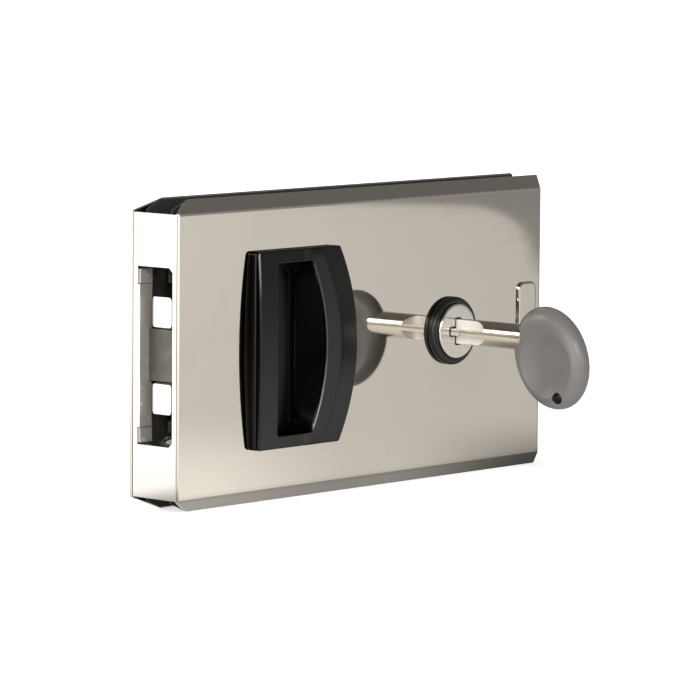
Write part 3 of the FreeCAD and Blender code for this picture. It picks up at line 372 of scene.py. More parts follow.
def polished_sheet(finish):
    """Mirror-polished stainless sheet, with faint handling haze and polishing marks."""
    haze = finish.noise(45.0, 3.0).above(0.52, 0.75)
    specks = finish.noise(1500.0, 2.0).above(0.68, 0.8)
    lines = finish.noise(240.0, 4.0, (0.04, 1.0, 1.6)).above(0.35, 0.75)
    return {
        "Base Color": finish.blend(haze, (0.500, 0.466, 0.418), (0.482, 0.449, 0.402)),
        "Metallic": 1.0,
        "Roughness": 0.035 + haze * 0.03 + lines * 0.012 + specks * 0.04,
        "Normal": finish.bump(finish.noise(9.0, 1.0), 0.00012),
    }


def polished_steel(finish):
    """Polished solid steel, for the edge plate, the caps and the hooks."""
    marks = finish.noise(900.0, 3.0, (1.0, 1.0, 0.12)).above(0.45, 0.8)
    cloud = finish.noise(120.0)
    return {
        "Base Color": finish.blend(cloud, (0.66, 0.64, 0.61), (0.62, 0.60, 0.57)),
        "Metallic": 1.0,
        "Roughness": 0.09 + marks * 0.07 + cloud * 0.04,
    }


def plated_steel(finish):
    """Zinc-plated steel with a soft grain, for plates and screws inside."""
    grain = finish.noise(2600.0, 3.0)
    patches = finish.noise(300.0).above(0.4, 0.7)
    return {
        "Base Color": finish.blend(patches, (0.125, 0.120, 0.104), (0.160, 0.155, 0.138)),
        "Metallic": 0.8,
        "Roughness": 0.42 + grain * 0.16,
        "Normal": finish.bump(grain, 0.000012),
    }


def satin_strip(finish):
    """Tumbled steel with small dents, for the strip in the window. Its front edge is rubbed bright."""
    dents = finish.noise(420.0, 2.0).above(0.62, 0.8)
    grain = finish.noise(3000.0, 3.0)
    rubbed_and_painted_sheen = 1.0 - finish.along("X").above(0.0002, 0.0006)
    tumbled = finish.blend(dents, (0.40, 0.375, 0.34), (0.70, 0.68, 0.64))
    return {
        "Base Color": finish.blend(rubbed_and_painted_sheen, tumbled, (0.85, 0.83, 0.80)),
        "Metallic": 0.35 + rubbed_and_painted_sheen * 0.6,
        "Roughness": 0.42 + grain * 0.15 - rubbed_and_painted_sheen * 0.2,
        "Normal": finish.bump(grain * 0.3 + dents, 0.00004),
    }


def nickel(finish):
    """Plated brass with a warm tone: drawn along the shank, brighter and rougher where it is milled.

    A band of painted shade darkens the milled part in the keyway's mouth.
    """
    drawn = finish.noise(2200.0, 3.0, (1.0, 0.05, 1.0))
    pits = finish.noise(1900.0, 2.0).above(0.66, 0.8)
    radius = finish.away_from((LOCK_X * MM, 0.0, 0.0), (1.0, 0.0, 1.0))
    milled = 1.0 - radius.above((KEY_RADIUS - 0.25) * MM, (KEY_RADIUS - 0.08) * MM)
    milled = milled * (1.0 - finish.along("Y").above(0.0, MM))
    proud = 0.0 - COVER_FACE * MM - finish.along("Y")
    # Painted shade: the milled part is painted dark just inside the keyway's mouth, where it lies in the
    # disc's shadow
    painted_keyway_shade = (proud.above(PAINTED_KEYWAY_SHADE_STARTS[0] * MM, PAINTED_KEYWAY_SHADE_STARTS[1] * MM)
               * (1.0 - proud.above(PAINTED_KEYWAY_SHADE_ENDS[0] * MM, PAINTED_KEYWAY_SHADE_ENDS[1] * MM)) * milled)
    metal = finish.blend(pits, (0.77, 0.735, 0.66), (0.56, 0.52, 0.44))
    metal = finish.blend(milled, metal, (0.96, 0.93, 0.88))
    return {
        "Base Color": finish.blend(painted_keyway_shade, metal, (0.03, 0.027, 0.022)),
        "Metallic": 1.0 - milled * 0.7,
        "Roughness": 0.13 + drawn * 0.08 + pits * 0.15 + milled * 0.16,
        "Normal": finish.bump(drawn + pits, 0.000008),
    }


def turned_face(finish):
    """The cylinder's satin face, turned on a lathe."""
    grain = finish.noise(2400.0, 3.0)
    cloud = finish.noise(260.0)
    return {
        "Base Color": finish.blend(cloud, (0.56, 0.535, 0.495), (0.51, 0.49, 0.45)),
        "Metallic": 1.0,
        "Roughness": 0.09 + grain * 0.07,
        "Normal": finish.bump(grain, 0.000005),
    }


def satin_black(finish):
    """Black coating with a fine moulded grain and random wear, with painted light: a painted sheen on the
    inner band, painted highlights on two edges and painted shade inside the cup.
    """
    grain = finish.noise(5200.0, 2.0)
    wear = finish.noise(110.0, 3.0).above(0.45, 0.8)
    outside = finish.stored("outside")
    coat = finish.blend(wear, (0.0018, 0.0017, 0.0014), (0.0034, 0.0032, 0.0028))
    # Painted sheen: the inner band is painted lighter, with the grain
    coat = finish.blend(finish.stored("painted_sheen") * (0.6 + grain * 0.8), coat, (0.016, 0.0152, 0.0135))
    # Painted shade: a still darker black inside the cup and down the collar's sides
    coat = finish.blend(outside, (0.0008, 0.0008, 0.0007), coat)
    return {
        # Painted highlights: pale lines where the rim share is stored
        "Base Color": finish.blend(finish.stored("rim"), coat, (0.42, 0.41, 0.38)),
        "Roughness": 0.12 + outside * 0.09 + grain * 0.06 - wear * 0.04,
        "Specular IOR Level": 0.26,
        # Painted shade: a dull black replaces most of the shader inside the cup and down the collar's sides
        "Unlit": 0.92 - outside * 0.92,
        "Normal": finish.bump(grain, 0.000016),
    }


def black_trim(finish):
    """The cylinder ring's smoother black."""
    grain = finish.noise(3800.0, 2.0)
    dust = finish.noise(1300.0, 2.0).above(0.7, 0.8)
    return {
        "Base Color": finish.blend(dust, (0.006, 0.0057, 0.005), (0.03, 0.028, 0.026)),
        "Roughness": 0.24 + grain * 0.08,
        "Specular IOR Level": 0.35,
        "Normal": finish.bump(grain, 0.00001),
    }


def grey_grip(finish):
    """The bow's warm grey moulded plastic, with a fine matt grain, rare pale specks and a bore painted dark
    as shade.
    """
    grain = finish.noise(4600.0, 3.0)
    specks = finish.noise(950.0, 1.0).above(0.74, 0.8)
    cloud = finish.noise(90.0)
    body = finish.blend(cloud, (0.172, 0.163, 0.158), (0.200, 0.189, 0.183))
    ring_hole = (LOCK_X * MM, (BOW_LOW.y + BOW_HIGH.y) / 2 * MM + (BOW_BACK - KEY_HOLE_OUT) * MM,
                 (BOW_LOW.z + BOW_HIGH.z) / 2 * MM - KEY_HOLE_DROP * MM)
    away = finish.away_from(ring_hole, (0.0, 1.0, 1.0))
    # Painted shade: the ring hole's bore is painted near black
    painted_hole_shade = 1.0 - away.above((KEY_HOLE_RADIUS + 0.05) * MM, (KEY_HOLE_RADIUS + 0.35) * MM)
    body = finish.blend(painted_hole_shade, body, (0.022, 0.020, 0.018))
    return {
        "Base Color": finish.blend(specks * 0.6, body, (0.50, 0.49, 0.48)),
        "Roughness": 0.25 + grain * 0.12,
        "Normal": finish.bump(grain, 0.00003),
    }


def cast_case(finish):
    """Die-cast alloy with a soft, slightly mottled skin."""
    skin = finish.noise(700.0, 4.0)
    return {
        "Base Color": finish.blend(skin, (0.15, 0.147, 0.138), (0.21, 0.205, 0.195)),
        "Metallic": 1.0,
        "Roughness": 0.42 + skin * 0.14,
        "Normal": finish.bump(skin, 0.00004),
    }


def soft_gasket(finish):
    """Dark matt rubber sheet."""
    grain = finish.noise(2500.0, 3.0)
    return {
        "Base Color": finish.blend(grain, (0.016, 0.016, 0.016), (0.028, 0.028, 0.028)),
        "Roughness": 0.68 + grain * 0.15,
        "Normal": finish.bump(grain, 0.00003),
    }


def pale_nylon(finish):
    """Cream nylon, for the guides and the sleeve."""
    cloud = finish.noise(500.0, 3.0)
    return {
        "Base Color": finish.blend(cloud, (0.60, 0.58, 0.51), (0.68, 0.66, 0.60)),
        "Roughness": 0.42 + cloud * 0.10,
        "Normal": finish.bump(cloud, 0.00002),
    }


def machined_brass(finish):
    """Turned brass, for the cylinder and its pins."""
    turned = finish.noise(1800.0, 3.0, (1.0, 0.2, 1.0))
    return {
        "Base Color": finish.blend(turned, (0.60, 0.43, 0.17), (0.68, 0.51, 0.24)),
        "Metallic": 1.0,
        "Roughness": 0.20 + turned * 0.12,
        "Normal": finish.bump(turned, 0.000008),
    }


FINISHES = {fill.__name__: surface(fill.__name__, fill) for fill in (
    polished_sheet, polished_steel, plated_steel, satin_strip, nickel, turned_face, satin_black,
    black_trim, grey_grip, cast_case, soft_gasket, pale_nylon, machined_brass)}


# Mesh tools

def body_of_node(node):
    """The moving body that a CAD node belongs to."""
    for body, members in frame["record"]["behaviour"]["bodies"].items():
        if node in members:
            return body
    return None


def as_object(bm, name="tool"):
    """A mesh as an object of its own in the scene."""
    bmesh.ops.recalc_face_normals(bm, faces=bm.faces)
    mesh = bpy.data.meshes.new(name)
    bm.to_mesh(mesh)
    bm.free()
    made = bpy.data.objects.new(name, mesh)
    bpy.context.scene.collection.objects.link(made)
    return made


def settle(piece):
    """Turns a piece's modifiers into plain mesh."""
    depsgraph = bpy.context.evaluated_depsgraph_get()
    mesh = bpy.data.meshes.new_from_object(piece.evaluated_get(depsgraph), preserve_all_data_layers=True,
                                           depsgraph=depsgraph)
    piece.modifiers.clear()
    old = piece.data
    piece.data = mesh
    bpy.data.meshes.remove(old)
    return piece


def combine(piece, tools, operation="DIFFERENCE"):
    """Cuts or joins tools with a piece, one after the other."""
    for tool in tools:
        step = piece.modifiers.new("combine", "BOOLEAN")
        step.operation = operation
        step.solver = "EXACT"
        step.object = tool
        settle(piece)
        bpy.data.objects.remove(tool)
    return piece


def soften(piece, width, segments=3, angle=35.0):
    """Rounds every edge that is sharper than an angle."""
    step = piece.modifiers.new("soften", "BEVEL")
    step.width = width
    step.segments = segments
    step.limit_method = "ANGLE"
    step.angle_limit = math.radians(angle)
    step.use_clamp_overlap = True
    return settle(piece)


def shade(piece, angle=38.0):
    """Smooth shading that keeps flat faces flat."""
    for face in piece.data.polygons:
        face.use_smooth = True
    piece.data.set_sharp_from_angle(angle=math.radians(angle))
    step = piece.modifiers.new("shade", "WEIGHTED_NORMAL")
    step.keep_sharp = True
    return settle(piece)


def mirrored(piece):
    """The same piece on the far side."""
    bm = bmesh.new()
    bm.from_mesh(piece.data)
    bm.transform(Matrix.Scale(-1.0, 4, (0.0, 1.0, 0.0)))
    return as_object(bm, piece.name)


def finish_piece(piece, name, finish, nodes, angle=38.0):
    """Gives a piece its name, shading, finish and body, and hides the CAD nodes that it stands for."""
    shade(piece, angle)
    piece.data.transform(Matrix.Scale(MM, 4))
    piece.name = name
    piece.data.name = name
    piece.data.materials.clear()
    piece.data.materials.append(FINISHES[finish])
    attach(piece, body_of_node(nodes[0]))
    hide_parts(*nodes)
    return piece


def block(low, high):
    """A box between two corners."""
    bm = bmesh.new()
    bmesh.ops.create_cube(bm, size=1.0)
    low, high = Vector(low), Vector(high)
    size = high - low
    for vertex in bm.verts:
        vertex.co = Vector([low[i] + (vertex.co[i] + 0.5) * size[i] for i in range(3)])
    return as_object(bm)


def loft(rings, wrap=False):
    """Quads between rings of equal count. The ends are closed unless the rings wrap around."""
    bm = bmesh.new()
    rows = [[bm.verts.new(point) for point in ring] for ring in rings]
    count = len(rows[0])
    pairs = list(zip(rows, rows[1:]))
    if wrap:
        pairs.append((rows[-1], rows[0]))
    for first, second in pairs:
        for i in range(count):
            j = (i + 1) % count
            bm.faces.new((first[i], first[j], second[j], second[i]))
    if not wrap:
        bm.faces.new(rows[0])
        bm.faces.new(rows[-1])
    return as_object(bm)


def prism_y(outline, y0, y1):
    """A prism along Y from an outline of X, Z points."""
    return loft([[Vector((x, y, z)) for x, z in outline] for y in (y0, y1)])


def circle(x, z, radius, count=64, turn=0.0):
    """A round outline of X, Z points."""
    return [(x + radius * math.cos(turn + 2 * math.pi * i / count),
             z + radius * math.sin(turn + 2 * math.pi * i / count)) for i in range(count)]


def rounded_rectangle(half_across, half_up, radius, steps):
    """A rectangle around zero with round corners, as pairs of across and up."""
    points = []
    for across, up, start in ((1, 1, 0), (-1, 1, 90), (-1, -1, 180), (1, -1, 270)):
        for i in range(steps + 1):
            turn = math.radians(start + 90 * i / steps)
            points.append((across * (half_across - radius) + radius * math.cos(turn),
                           up * (half_up - radius) + radius * math.sin(turn)))
    return points


def lathe(profile, x=0.0, z=0.0, count=128, wrap=False):
    """A solid turned about an axis along Y. The profile lists radius and Y."""
    rings = [[Vector((px, y, pz)) for px, pz in circle(x, z, radius, count)] for radius, y in profile]
    return loft(rings, wrap)


def fillet(radius, steps=5):
    """Pairs of how far in and how far down, from a side to the face above it."""
    turns = [math.pi / 2 * i / steps for i in range(steps + 1)]
    return [(radius * (1 - math.cos(turn)), radius * (1 - math.sin(turn))) for turn in turns]


def clip(share):
    """A share that stays between 0 and 1."""
    return min(max(share, 0.0), 1.0)


def arc_height(z, half, rise):
    """Height of an arc over its chord, at a distance z from the chord's middle."""
    radius = (half * half + rise * rise) / (2 * rise)
    return math.sqrt(radius * radius - z * z) - radius + rise


SIDE_STEPS = 48
END_STEPS = 44
CORNER_STEPS = 8


def barrel_ring(barrel, inset=0.0, corner=None):
    """The outline of a barrel shape, moved inwards, as X, Z points from the lower right upwards."""
    half = barrel.half - inset
    rounding = max(barrel.corner - inset if corner is None else corner, 0.15)
    corner_z = half - rounding
    sides = []
    for edge, bulge, sign in ((barrel.right, barrel.right_bulge, 1), (barrel.left, barrel.left_bulge, -1)):
        radius = (barrel.half ** 2 + bulge ** 2) / (2 * bulge)
        middle = edge + sign * (bulge - radius)
        reach = math.sqrt((radius - inset - rounding) ** 2 - corner_z ** 2)
        sides.append((middle, radius - inset, middle + sign * reach, math.atan2(corner_z, reach)))
    (right_middle, right_radius, right_x, right_turn), (left_middle, left_radius, left_x, left_turn) = sides

    def arc(x, z, radius, start, end, steps):
        turns = [start + (end - start) * i / steps for i in range(steps)]
        return [(x + radius * math.cos(turn), z + radius * math.sin(turn)) for turn in turns]

    def line(x0, x1, z):
        return [(x0 + (x1 - x0) * i / END_STEPS, z) for i in range(END_STEPS)]

    quarter = math.pi / 2
    return (arc(right_middle, 0, right_radius, -right_turn, right_turn, SIDE_STEPS)
            + arc(right_x, corner_z, rounding, right_turn, quarter, CORNER_STEPS)
            + line(right_x, left_x, half)
            + arc(left_x, corner_z, rounding, quarter, math.pi - left_turn, CORNER_STEPS)
            + arc(left_middle, 0, left_radius, math.pi - left_turn, math.pi + left_turn, SIDE_STEPS)
            + arc(left_x, -corner_z, rounding, math.pi + left_turn, 3 * quarter, CORNER_STEPS)
            + line(left_x, right_x, -half)
            + arc(right_x, -corner_z, rounding, -quarter, -right_turn, CORNER_STEPS))


def raised(ring, height):
    """A ring of X, Z points at the Y that a function gives."""
    return [Vector((x, height(x, z), z)) for x, z in ring]


# Screws

def screw_tree():
    """A tree that puts a screw with a cross recess on each point, head outwards along its own Z."""
    tree = bpy.data.node_groups.new("recessed_screws", "GeometryNodeTree")
    tree.interface.new_socket("Points", in_out="INPUT", socket_type="NodeSocketGeometry")
    for name in ("Turn", "Head Radius", "Seat Radius", "Head Height", "Shank Radius", "Shank Length"):
        tree.interface.new_socket(name, in_out="INPUT", socket_type="NodeSocketFloat")
    tree.interface.new_socket("Finish", in_out="INPUT", socket_type="NodeSocketMaterial")
    tree.interface.new_socket("Screws", in_out="OUTPUT", socket_type="NodeSocketGeometry")
    build = Finish(tree)
    group = build.node("NodeGroupInput", {}, {})
    given = {socket.name: Value(build, socket) for socket in group.outputs if socket.name}
    head, seat, height = given["Head Radius"], given["Seat Radius"], given["Head Height"]
    shank, length = given["Shank Radius"], given["Shank Length"]

    def vector(x, y, z):
        return build.take("ShaderNodeCombineXYZ", {}, [x, y, z])

    def moved(solid, up):
        return build.take("GeometryNodeTransform", {}, {
            "Geometry": solid, "Translation": vector(0.0, 0.0, up)})

    def cone(top, bottom, depth, up):
        solid = build.take("GeometryNodeMeshCone", {}, {
            "Vertices": 40, "Radius Top": top, "Radius Bottom": bottom, "Depth": depth})
        return moved(solid, up)

    def bar(x, y, z):
        return build.take("GeometryNodeMeshCube", {}, {"Size": vector(x, y, z)})

    rim = height * 0.12
    body = [cone(head - rim, head, rim, 0.0 - rim), cone(head, seat, height - rim, 0.0 - height),
            cone(shank, shank * 0.8, length, 0.0 - height - length)]
    solid = build.take("GeometryNodeMeshBoolean", {"operation": "UNION", "solver": "EXACT"},
                       {"Mesh 2": body})
    long, wide, deep = head * 1.1, head * 0.26, height * 1.1
    cross = [bar(long, wide, deep), bar(wide, long, deep)]
    solid = build.take("GeometryNodeMeshBoolean", {"operation": "DIFFERENCE", "solver": "EXACT"},
                       {"Mesh 1": solid, "Mesh 2": cross})
    placed = build.take("GeometryNodeInstanceOnPoints", {}, {
        "Points": given["Points"], "Instance": solid, "Rotation": vector(given["Turn"], 0.0, 0.0)})
    real = build.take("GeometryNodeRealizeInstances", {}, {"Geometry": placed})
    done = build.take("GeometryNodeSetMaterial", {}, {"Geometry": real, "Material": given["Finish"]})
    build.node("NodeGroupOutput", {}, {"Screws": done})
    return tree


def screws(tree, places, y, sizes):
    """One mesh of screws whose heads are at Y on the places given as X, Z."""
    mesh = bpy.data.meshes.new("screws")
    mesh.from_pydata([(x, y, z) for x, z in places], [], [])
    made = bpy.data.objects.new("screws", mesh)
    bpy.context.scene.collection.objects.link(made)
    step = made.modifiers.new("screws", "NODES")
    step.node_group = tree
    for socket in tree.interface.items_tree:
        if socket.in_out == "INPUT" and socket.name in sizes:
            step[socket.identifier] = sizes[socket.name]
    return settle(made)


def case_screw_places():
    """Three pairs along the case, as X, Z."""
    low, high = node_box("case_screws")
    first, last, z = low.x + CASE_HEAD, high.x - CASE_HEAD, high.z - CASE_HEAD
    return [(x, side * z) for x in (first, first + (last - first) * 0.55, last) for side in (1, -1)]


# The covers, their edge plate and the window

def cover():
    """A thin sheet folded back at the top, bottom and trailing end."""
    half = COVER_HIGH.z - BEVEL_OUT
    length = COVER_HIGH.x - BEVEL_OUT
    bm = bmesh.new()

    def corners(y, end, low, high):
        return [bm.verts.new((x, y, z)) for x, z in ((0, low), (end, low), (end, high), (0, high))]

    face = corners(-COVER_FACE, length, -half, half)
    back = corners(-CLAMP_FACE, COVER_HIGH.x, COVER_LOW.z, COVER_HIGH.z)
    bm.faces.new(face)
    for i in range(3):
        bm.faces.new((face[i], back[i], back[i + 1], face[i + 1]))
    bmesh.ops.recalc_face_normals(bm, faces=bm.faces)
    folds = [edge for edge in bm.edges if len(edge.link_faces) == 2]
    bmesh.ops.bevel(bm, geom=folds, offset=FOLD_TANGENT, offset_type="OFFSET", segments=8, profile=0.5,
                    affect="EDGES")
    sheet = as_object(bm)
    if sheet.data.polygons[0].normal.y > 0.9:
        sheet.data.flip_normals()
    step = sheet.modifiers.new("sheet", "SOLIDIFY")
    step.thickness = SHEET
    step.offset = -1.0
    step.use_even_offset = True
    settle(sheet)
    near, far = -COVER_FACE - SHEET, -COVER_FACE + 2 * SHEET
    mitres = []
    for side in (1, -1):
        beyond = side * (half + 3 * BEVEL_OUT)
        outline = [(-MITRE, side * half), (0, side * half), (3 * MITRE, beyond), (-MITRE, beyond)]
        mitres.append(prism_y(outline, near, 0))
    outlines = (barrel_ring(pull_opening(), -SPIGOT_WALL - 0.1), circle(LOCK_X, 0, BARREL_HOLE),
                circle(FIXING_X, 0, FIXING_HOLE))
    combine(sheet, mitres + [prism_y(outline, near, far) for outline in outlines])
    return soften(sheet, COVER_EDGE_ROUND, 2, 50.0)


def edge_plate():
    """The polished plate on the leading edge, with its window."""
    plate = combine(block(EDGE_LOW, (EDGE_THICKNESS, EDGE_HIGH.y, EDGE_HIGH.z)), [window_cutter()])
    return soften(plate, EDGE_PLATE_ROUND, 3)


def window_cutter():
    """The window: two corners on one side are cut off."""
    across, up, chamfer = WINDOW_ACROSS, WINDOW_HALF, WINDOW_CHAMFER
    points = [(across, -up), (across, up), (chamfer - across, up), (-across, up - chamfer),
              (-across, chamfer - up), (chamfer - across, -up)]
    return loft([[Vector((x, y, z)) for y, z in points] for x in (-EDGE_THICKNESS, 2 * EDGE_THICKNESS)])


def window_tray():
    """The plate between the hooks. Its ends follow the hooks' sweep just clear of them."""
    front, back = POCKET_LOW.x - TRAY_FORWARD, POCKET_HIGH.x

    def reach(x):
        return PIVOT.z - math.sqrt((HOOK_OUTER + TRAY_CLEARANCE) ** 2 - (PIVOT.x - x) ** 2)

    upper = [(x, reach(x)) for x in [back + (front - back) * i / 6 for i in range(7)]]
    outline = upper + [(x, -z) for x, z in reversed(upper)]
    tray = loft([[Vector((x, y, z)) for x, z in outline] for y in (POCKET_LOW.y, STRIP_LOW.y - TRAY_GAP)])
    return soften(tray, TRAY_ROUND, 3, 50.0)


def window_strip():
    """The long strip on the window's far wall."""
    return soften(block((STRIP_SETBACK, STRIP_LOW.y, STRIP_LOW.z), STRIP_HIGH), STRIP_ROUND)


# The hooks

def hook():
    """The upper hook: a rounded crescent cut square at its tip, on an arm from its hub."""
    middle, half_wide = (HOOK_INNER + HOOK_OUTER) / 2, (HOOK_OUTER - HOOK_INNER) / 2
    slot_turn = math.atan2(-STUD_DROP, STUD_ALONG)
    past = 10.0

    def section(turn):
        return [PIVOT + Vector(((middle + out) * math.cos(turn), y, (middle + out) * math.sin(turn)))
                for out, y in rounded_rectangle(half_wide, HOOK_FACE, HOOK_ROUND, 4)]

    start = slot_turn + math.radians(TAIL_PAST_SLOT)
    end = math.radians(HOOK_END)
    steps = 40
    crescent = loft([section(start + (end - start) * i / steps) for i in range(steps + 1)])
    tip = block((HOOK_TIP - 30, -past, PIVOT.z - 40), (HOOK_TIP, past, PIVOT.z))
    combine(crescent, [tip])
    outwards = Matrix.Translation(PIVOT) @ Matrix.Rotation(-slot_turn, 4, "Y")
    arm = block((0, -HOOK_FACE, -ARM_HALF), (middle, HOOK_FACE, ARM_HALF))
    arm.data.transform(outwards)
    hub = prism_y(circle(PIVOT.x, PIVOT.z, HUB_RADIUS, 48), -HOOK_FACE, HOOK_FACE)
    combine(crescent, [arm, hub], "UNION")
    near, far = STUD_DROP, math.hypot(STUD_DROP, STUD_ALONG)
    turns = [math.radians(15 * i - 90) for i in range(13)]
    slot_outline = ([(far + SLOT_HALF * math.cos(turn), SLOT_HALF * math.sin(turn)) for turn in turns]
                    + [(near - SLOT_HALF * math.cos(turn), -SLOT_HALF * math.sin(turn)) for turn in turns])
    slot = prism_y(slot_outline, -past, past)
    slot.data.transform(outwards)
    hole = prism_y(circle(PIVOT.x, PIVOT.z, PIVOT_HOLE, 40), -past, past)
    combine(crescent, [slot, hole])
    return soften(crescent, HOOK_EDGE_ROUND, 4, 50.0)


# The pulls and their bases

def pull_opening():
    """The opening that the moving cup needs."""
    side = CUP_WALL + CUP_CLEARANCE
    return Barrel(PULL_MOUTH.left - TRAVEL - side, PULL_MOUTH.left_bulge, PULL_MOUTH.right + side,
                  PULL_MOUTH.right_bulge, PULL_MOUTH.half + side, PULL_MOUTH.corner + side)


def crown(z, rise=PULL_CROWN):
    """How far the middle stands out from the corners, at a height."""
    return arc_height(z, PULL_OUTLINE.half, rise)


def ridge_place(z):
    """X of the ridge between the pull's two bands, at a height."""
    return RIDGE_END + RIDGE_BULGE * arc_height(min(abs(z), PULL_OUTLINE.half), PULL_OUTLINE.half, 1.0)


def mouth_place(z):
    """X of the mouth's trailing edge, at a height."""
    reach = min(abs(z), PULL_MOUTH.half)
    return PULL_MOUTH.right + arc_height(reach, PULL_MOUTH.half, PULL_MOUTH.right_bulge)


def knee(t):
    """Close to 0 below zero and to t above it, with a soft turn between."""
    return (t + math.sqrt(t * t + KNEE * KNEE)) / 2


def frame_face(x, z):
    """The pull's front: a crown, a trailing band that falls away and a band that dips to the mouth."""
    bow = arc_height(min(abs(z), PULL_OUTLINE.half), PULL_OUTLINE.half, 1.0)
    ridge = ridge_place(z)
    drop = ROLL_DROP * (0.2 + 0.8 * bow)
    y = -COVER_FACE - BASE_PROUD - GROOVE - FRAME_EDGE - crown(z)
    y += knee(x - ridge) * drop / ROLL_WIDTH
    width = ridge - mouth_place(z)
    dip = knee(ridge - x) / width
    if dip > 1:
        dip = max(0.0, math.cos(math.pi / 2 * min(1.0, (dip - 1) * width / DIP_FADE)))
    return y + INNER_FALL * dip


def frame_back(x, z):
    """The frame's back, along the groove over the base."""
    return -COVER_FACE - BASE_PROUD - GROOVE - crown(z, BASE_CROWN)


def base_face(x, z):
    """The base's low crown."""
    return -COVER_FACE - BASE_PROUD - crown(z, BASE_CROWN)


def pull():
    """The moving pull: frame, neck and finger cup as one skin."""
    neck = barrel_ring(PULL_MOUTH, -CUP_WALL)
    rings = [raised(barrel_ring(PULL_MOUTH, -CUP_WALL + 0.6), lambda x, z: -CUP_BACK),
             raised(neck, lambda x, z: -CUP_BACK - 0.25),
             raised(neck, frame_back)]
    outer = barrel_ring(PULL_OUTLINE, FRAME_BACK_ROUND)
    for share in (0.02, 0.3, 0.6, 0.95):
        rings.append(raised(between_rings(neck, outer, share), frame_back))
    for inset, down in reversed(fillet(FRAME_BACK_ROUND, 3)):
        rings.append(raised(barrel_ring(PULL_OUTLINE, inset), lambda x, z: frame_back(x, z) - down))
    for inset, down in fillet(FRAME_FRONT_ROUND):
        rings.append(raised(barrel_ring(PULL_OUTLINE, inset), lambda x, z: frame_face(x, z) + down))
    start, end = barrel_ring(PULL_OUTLINE, FRAME_FRONT_ROUND), barrel_ring(PULL_MOUTH, -MOUTH_ROUND)
    face_rows = 36
    for i in range(1, face_rows):
        rings.append(raised(between_rings(start, end, i / face_rows), frame_face))
    for inset, down in reversed(fillet(MOUTH_ROUND)):
        rings.append(raised(barrel_ring(PULL_MOUTH, -inset), lambda x, z: frame_face(x, z) + down))
    rings.append(raised(barrel_ring(PULL_MOUTH), lambda x, z: frame_face(x, z) + 2 * COAT_EDGE))
    return loft(rings + cup_rings())


def pull_posts():
    """Four posts behind the key side's cup, that carry the slide."""
    return [prism_y(circle(x, z, POST_RADIUS, 40), -CUP_BACK - 0.3, POST_FOOT) for x, z in POST_PLACES]


def post_bores():
    """Holes in the posts for the screws' shanks."""
    return [prism_y(circle(x, z, SCREW_SHANK, 32), POST_BORE, POST_FOOT + 1.0) for x, z in POST_PLACES]


def countersunk_holes():
    """Holes through the far side's cup, sunk for the screws' heads."""
    deep = SCREW_HEAD - SCREW_SHANK
    profile = [(SCREW_SHANK, CUP_FLOOR - deep - 1.5), (SCREW_SHANK, CUP_FLOOR - deep),
               (SCREW_HEAD, CUP_FLOOR), (SCREW_HEAD, CUP_FLOOR + 0.4)]
    return [lathe(profile, x, z, 40) for x, z in POST_PLACES]


def mark_coat(piece, face):
    """Stores how far each point is on the outer face."""
    # The black finish paints shade where this share is low: inside the cup and down the collar's sides
    outside = piece.data.attributes.new("outside", "FLOAT", "POINT")
    for vertex, point in zip(piece.data.vertices, outside.data):
        x, y, z = vertex.co
        below = abs(face(x, z)) - abs(y)
        point.value = 1.0 - clip((below - COAT_EDGE) / COAT_EDGE)


def mark_wear(piece):
    """Stores what a pull's finish needs: its cup's floor lines, the inner band's painted sheen and painted
    highlights on two edges.
    """
    for name in ("painted_sheen", "rim"):
        piece.data.attributes.new(name, "FLOAT", "POINT")
    outside, rubbed_and_painted_sheen, painted_highlights = [piece.data.attributes[name].data for name in ("outside", "painted_sheen", "rim")]
    for vertex, coat, painted_sheen, painted_highlight in zip(piece.data.vertices, outside, rubbed_and_painted_sheen, painted_highlights):
        x, y, z = vertex.co
        # Painted highlight: along the floor fillet's two edges the painted shade is mostly lifted, so thin
        # lines show
        if min(abs(abs(y) - CUP_FLOOR - CUP_FLOOR_ROUND), abs(abs(y) - CUP_FLOOR)) < 0.02:
            coat.value = FLOOR_SHINE
        reach = min(abs(z), PULL_OUTLINE.half)
        mouth = mouth_place(z)
        # Painted sheen on the inner band between the mouth and the ridge
        inner_band = (clip((ridge_place(z) - x) / PAINTED_SHEEN_RIDGE_FADE)
                      * clip((x - mouth + PAINTED_SHEEN_MOUTH_FADE) / PAINTED_SHEEN_MOUTH_FADE))
        painted_sheen.value = inner_band * clip((PULL_OUTLINE.half - PAINTED_SHEEN_END - reach) / PAINTED_SHEEN_END_FADE)
        below = abs(frame_face(x, z)) - abs(y)
        start = PULL_OUTLINE.left - arc_height(reach, PULL_OUTLINE.half, PULL_OUTLINE.left_bulge)
        # Painted highlights along the mouth's trailing edge and the frame's leading edge
        on_mouth = abs(x - mouth - MOUTH_HIGHLIGHT_OUT) < MOUTH_HIGHLIGHT_HALF and below < MOUTH_HIGHLIGHT_DEPTH
        if on_mouth and reach < PULL_MOUTH.half - MOUTH_HIGHLIGHT_END:
            painted_highlight.value = MOUTH_HIGHLIGHT_LEAST + MOUTH_HIGHLIGHT_RISE * clip((-z - MOUTH_HIGHLIGHT_FROM) / MOUTH_HIGHLIGHT_FADE)
        elif FRAME_HIGHLIGHT_IN < x - start < FRAME_HIGHLIGHT_REACH and 0.0 < below < FRAME_HIGHLIGHT_REACH:
            painted_highlight.value = FRAME_HIGHLIGHT_MOST * clip((z - FRAME_HIGHLIGHT_FROM) / FRAME_HIGHLIGHT_FADE)


def between(first, second, share):
    """A value on the way from the first to the second."""
    return first + (second - first) * share


def between_rings(first, second, share):
    return [(between(a[0], b[0], share), between(a[1], b[1], share)) for a, b in zip(first, second)]


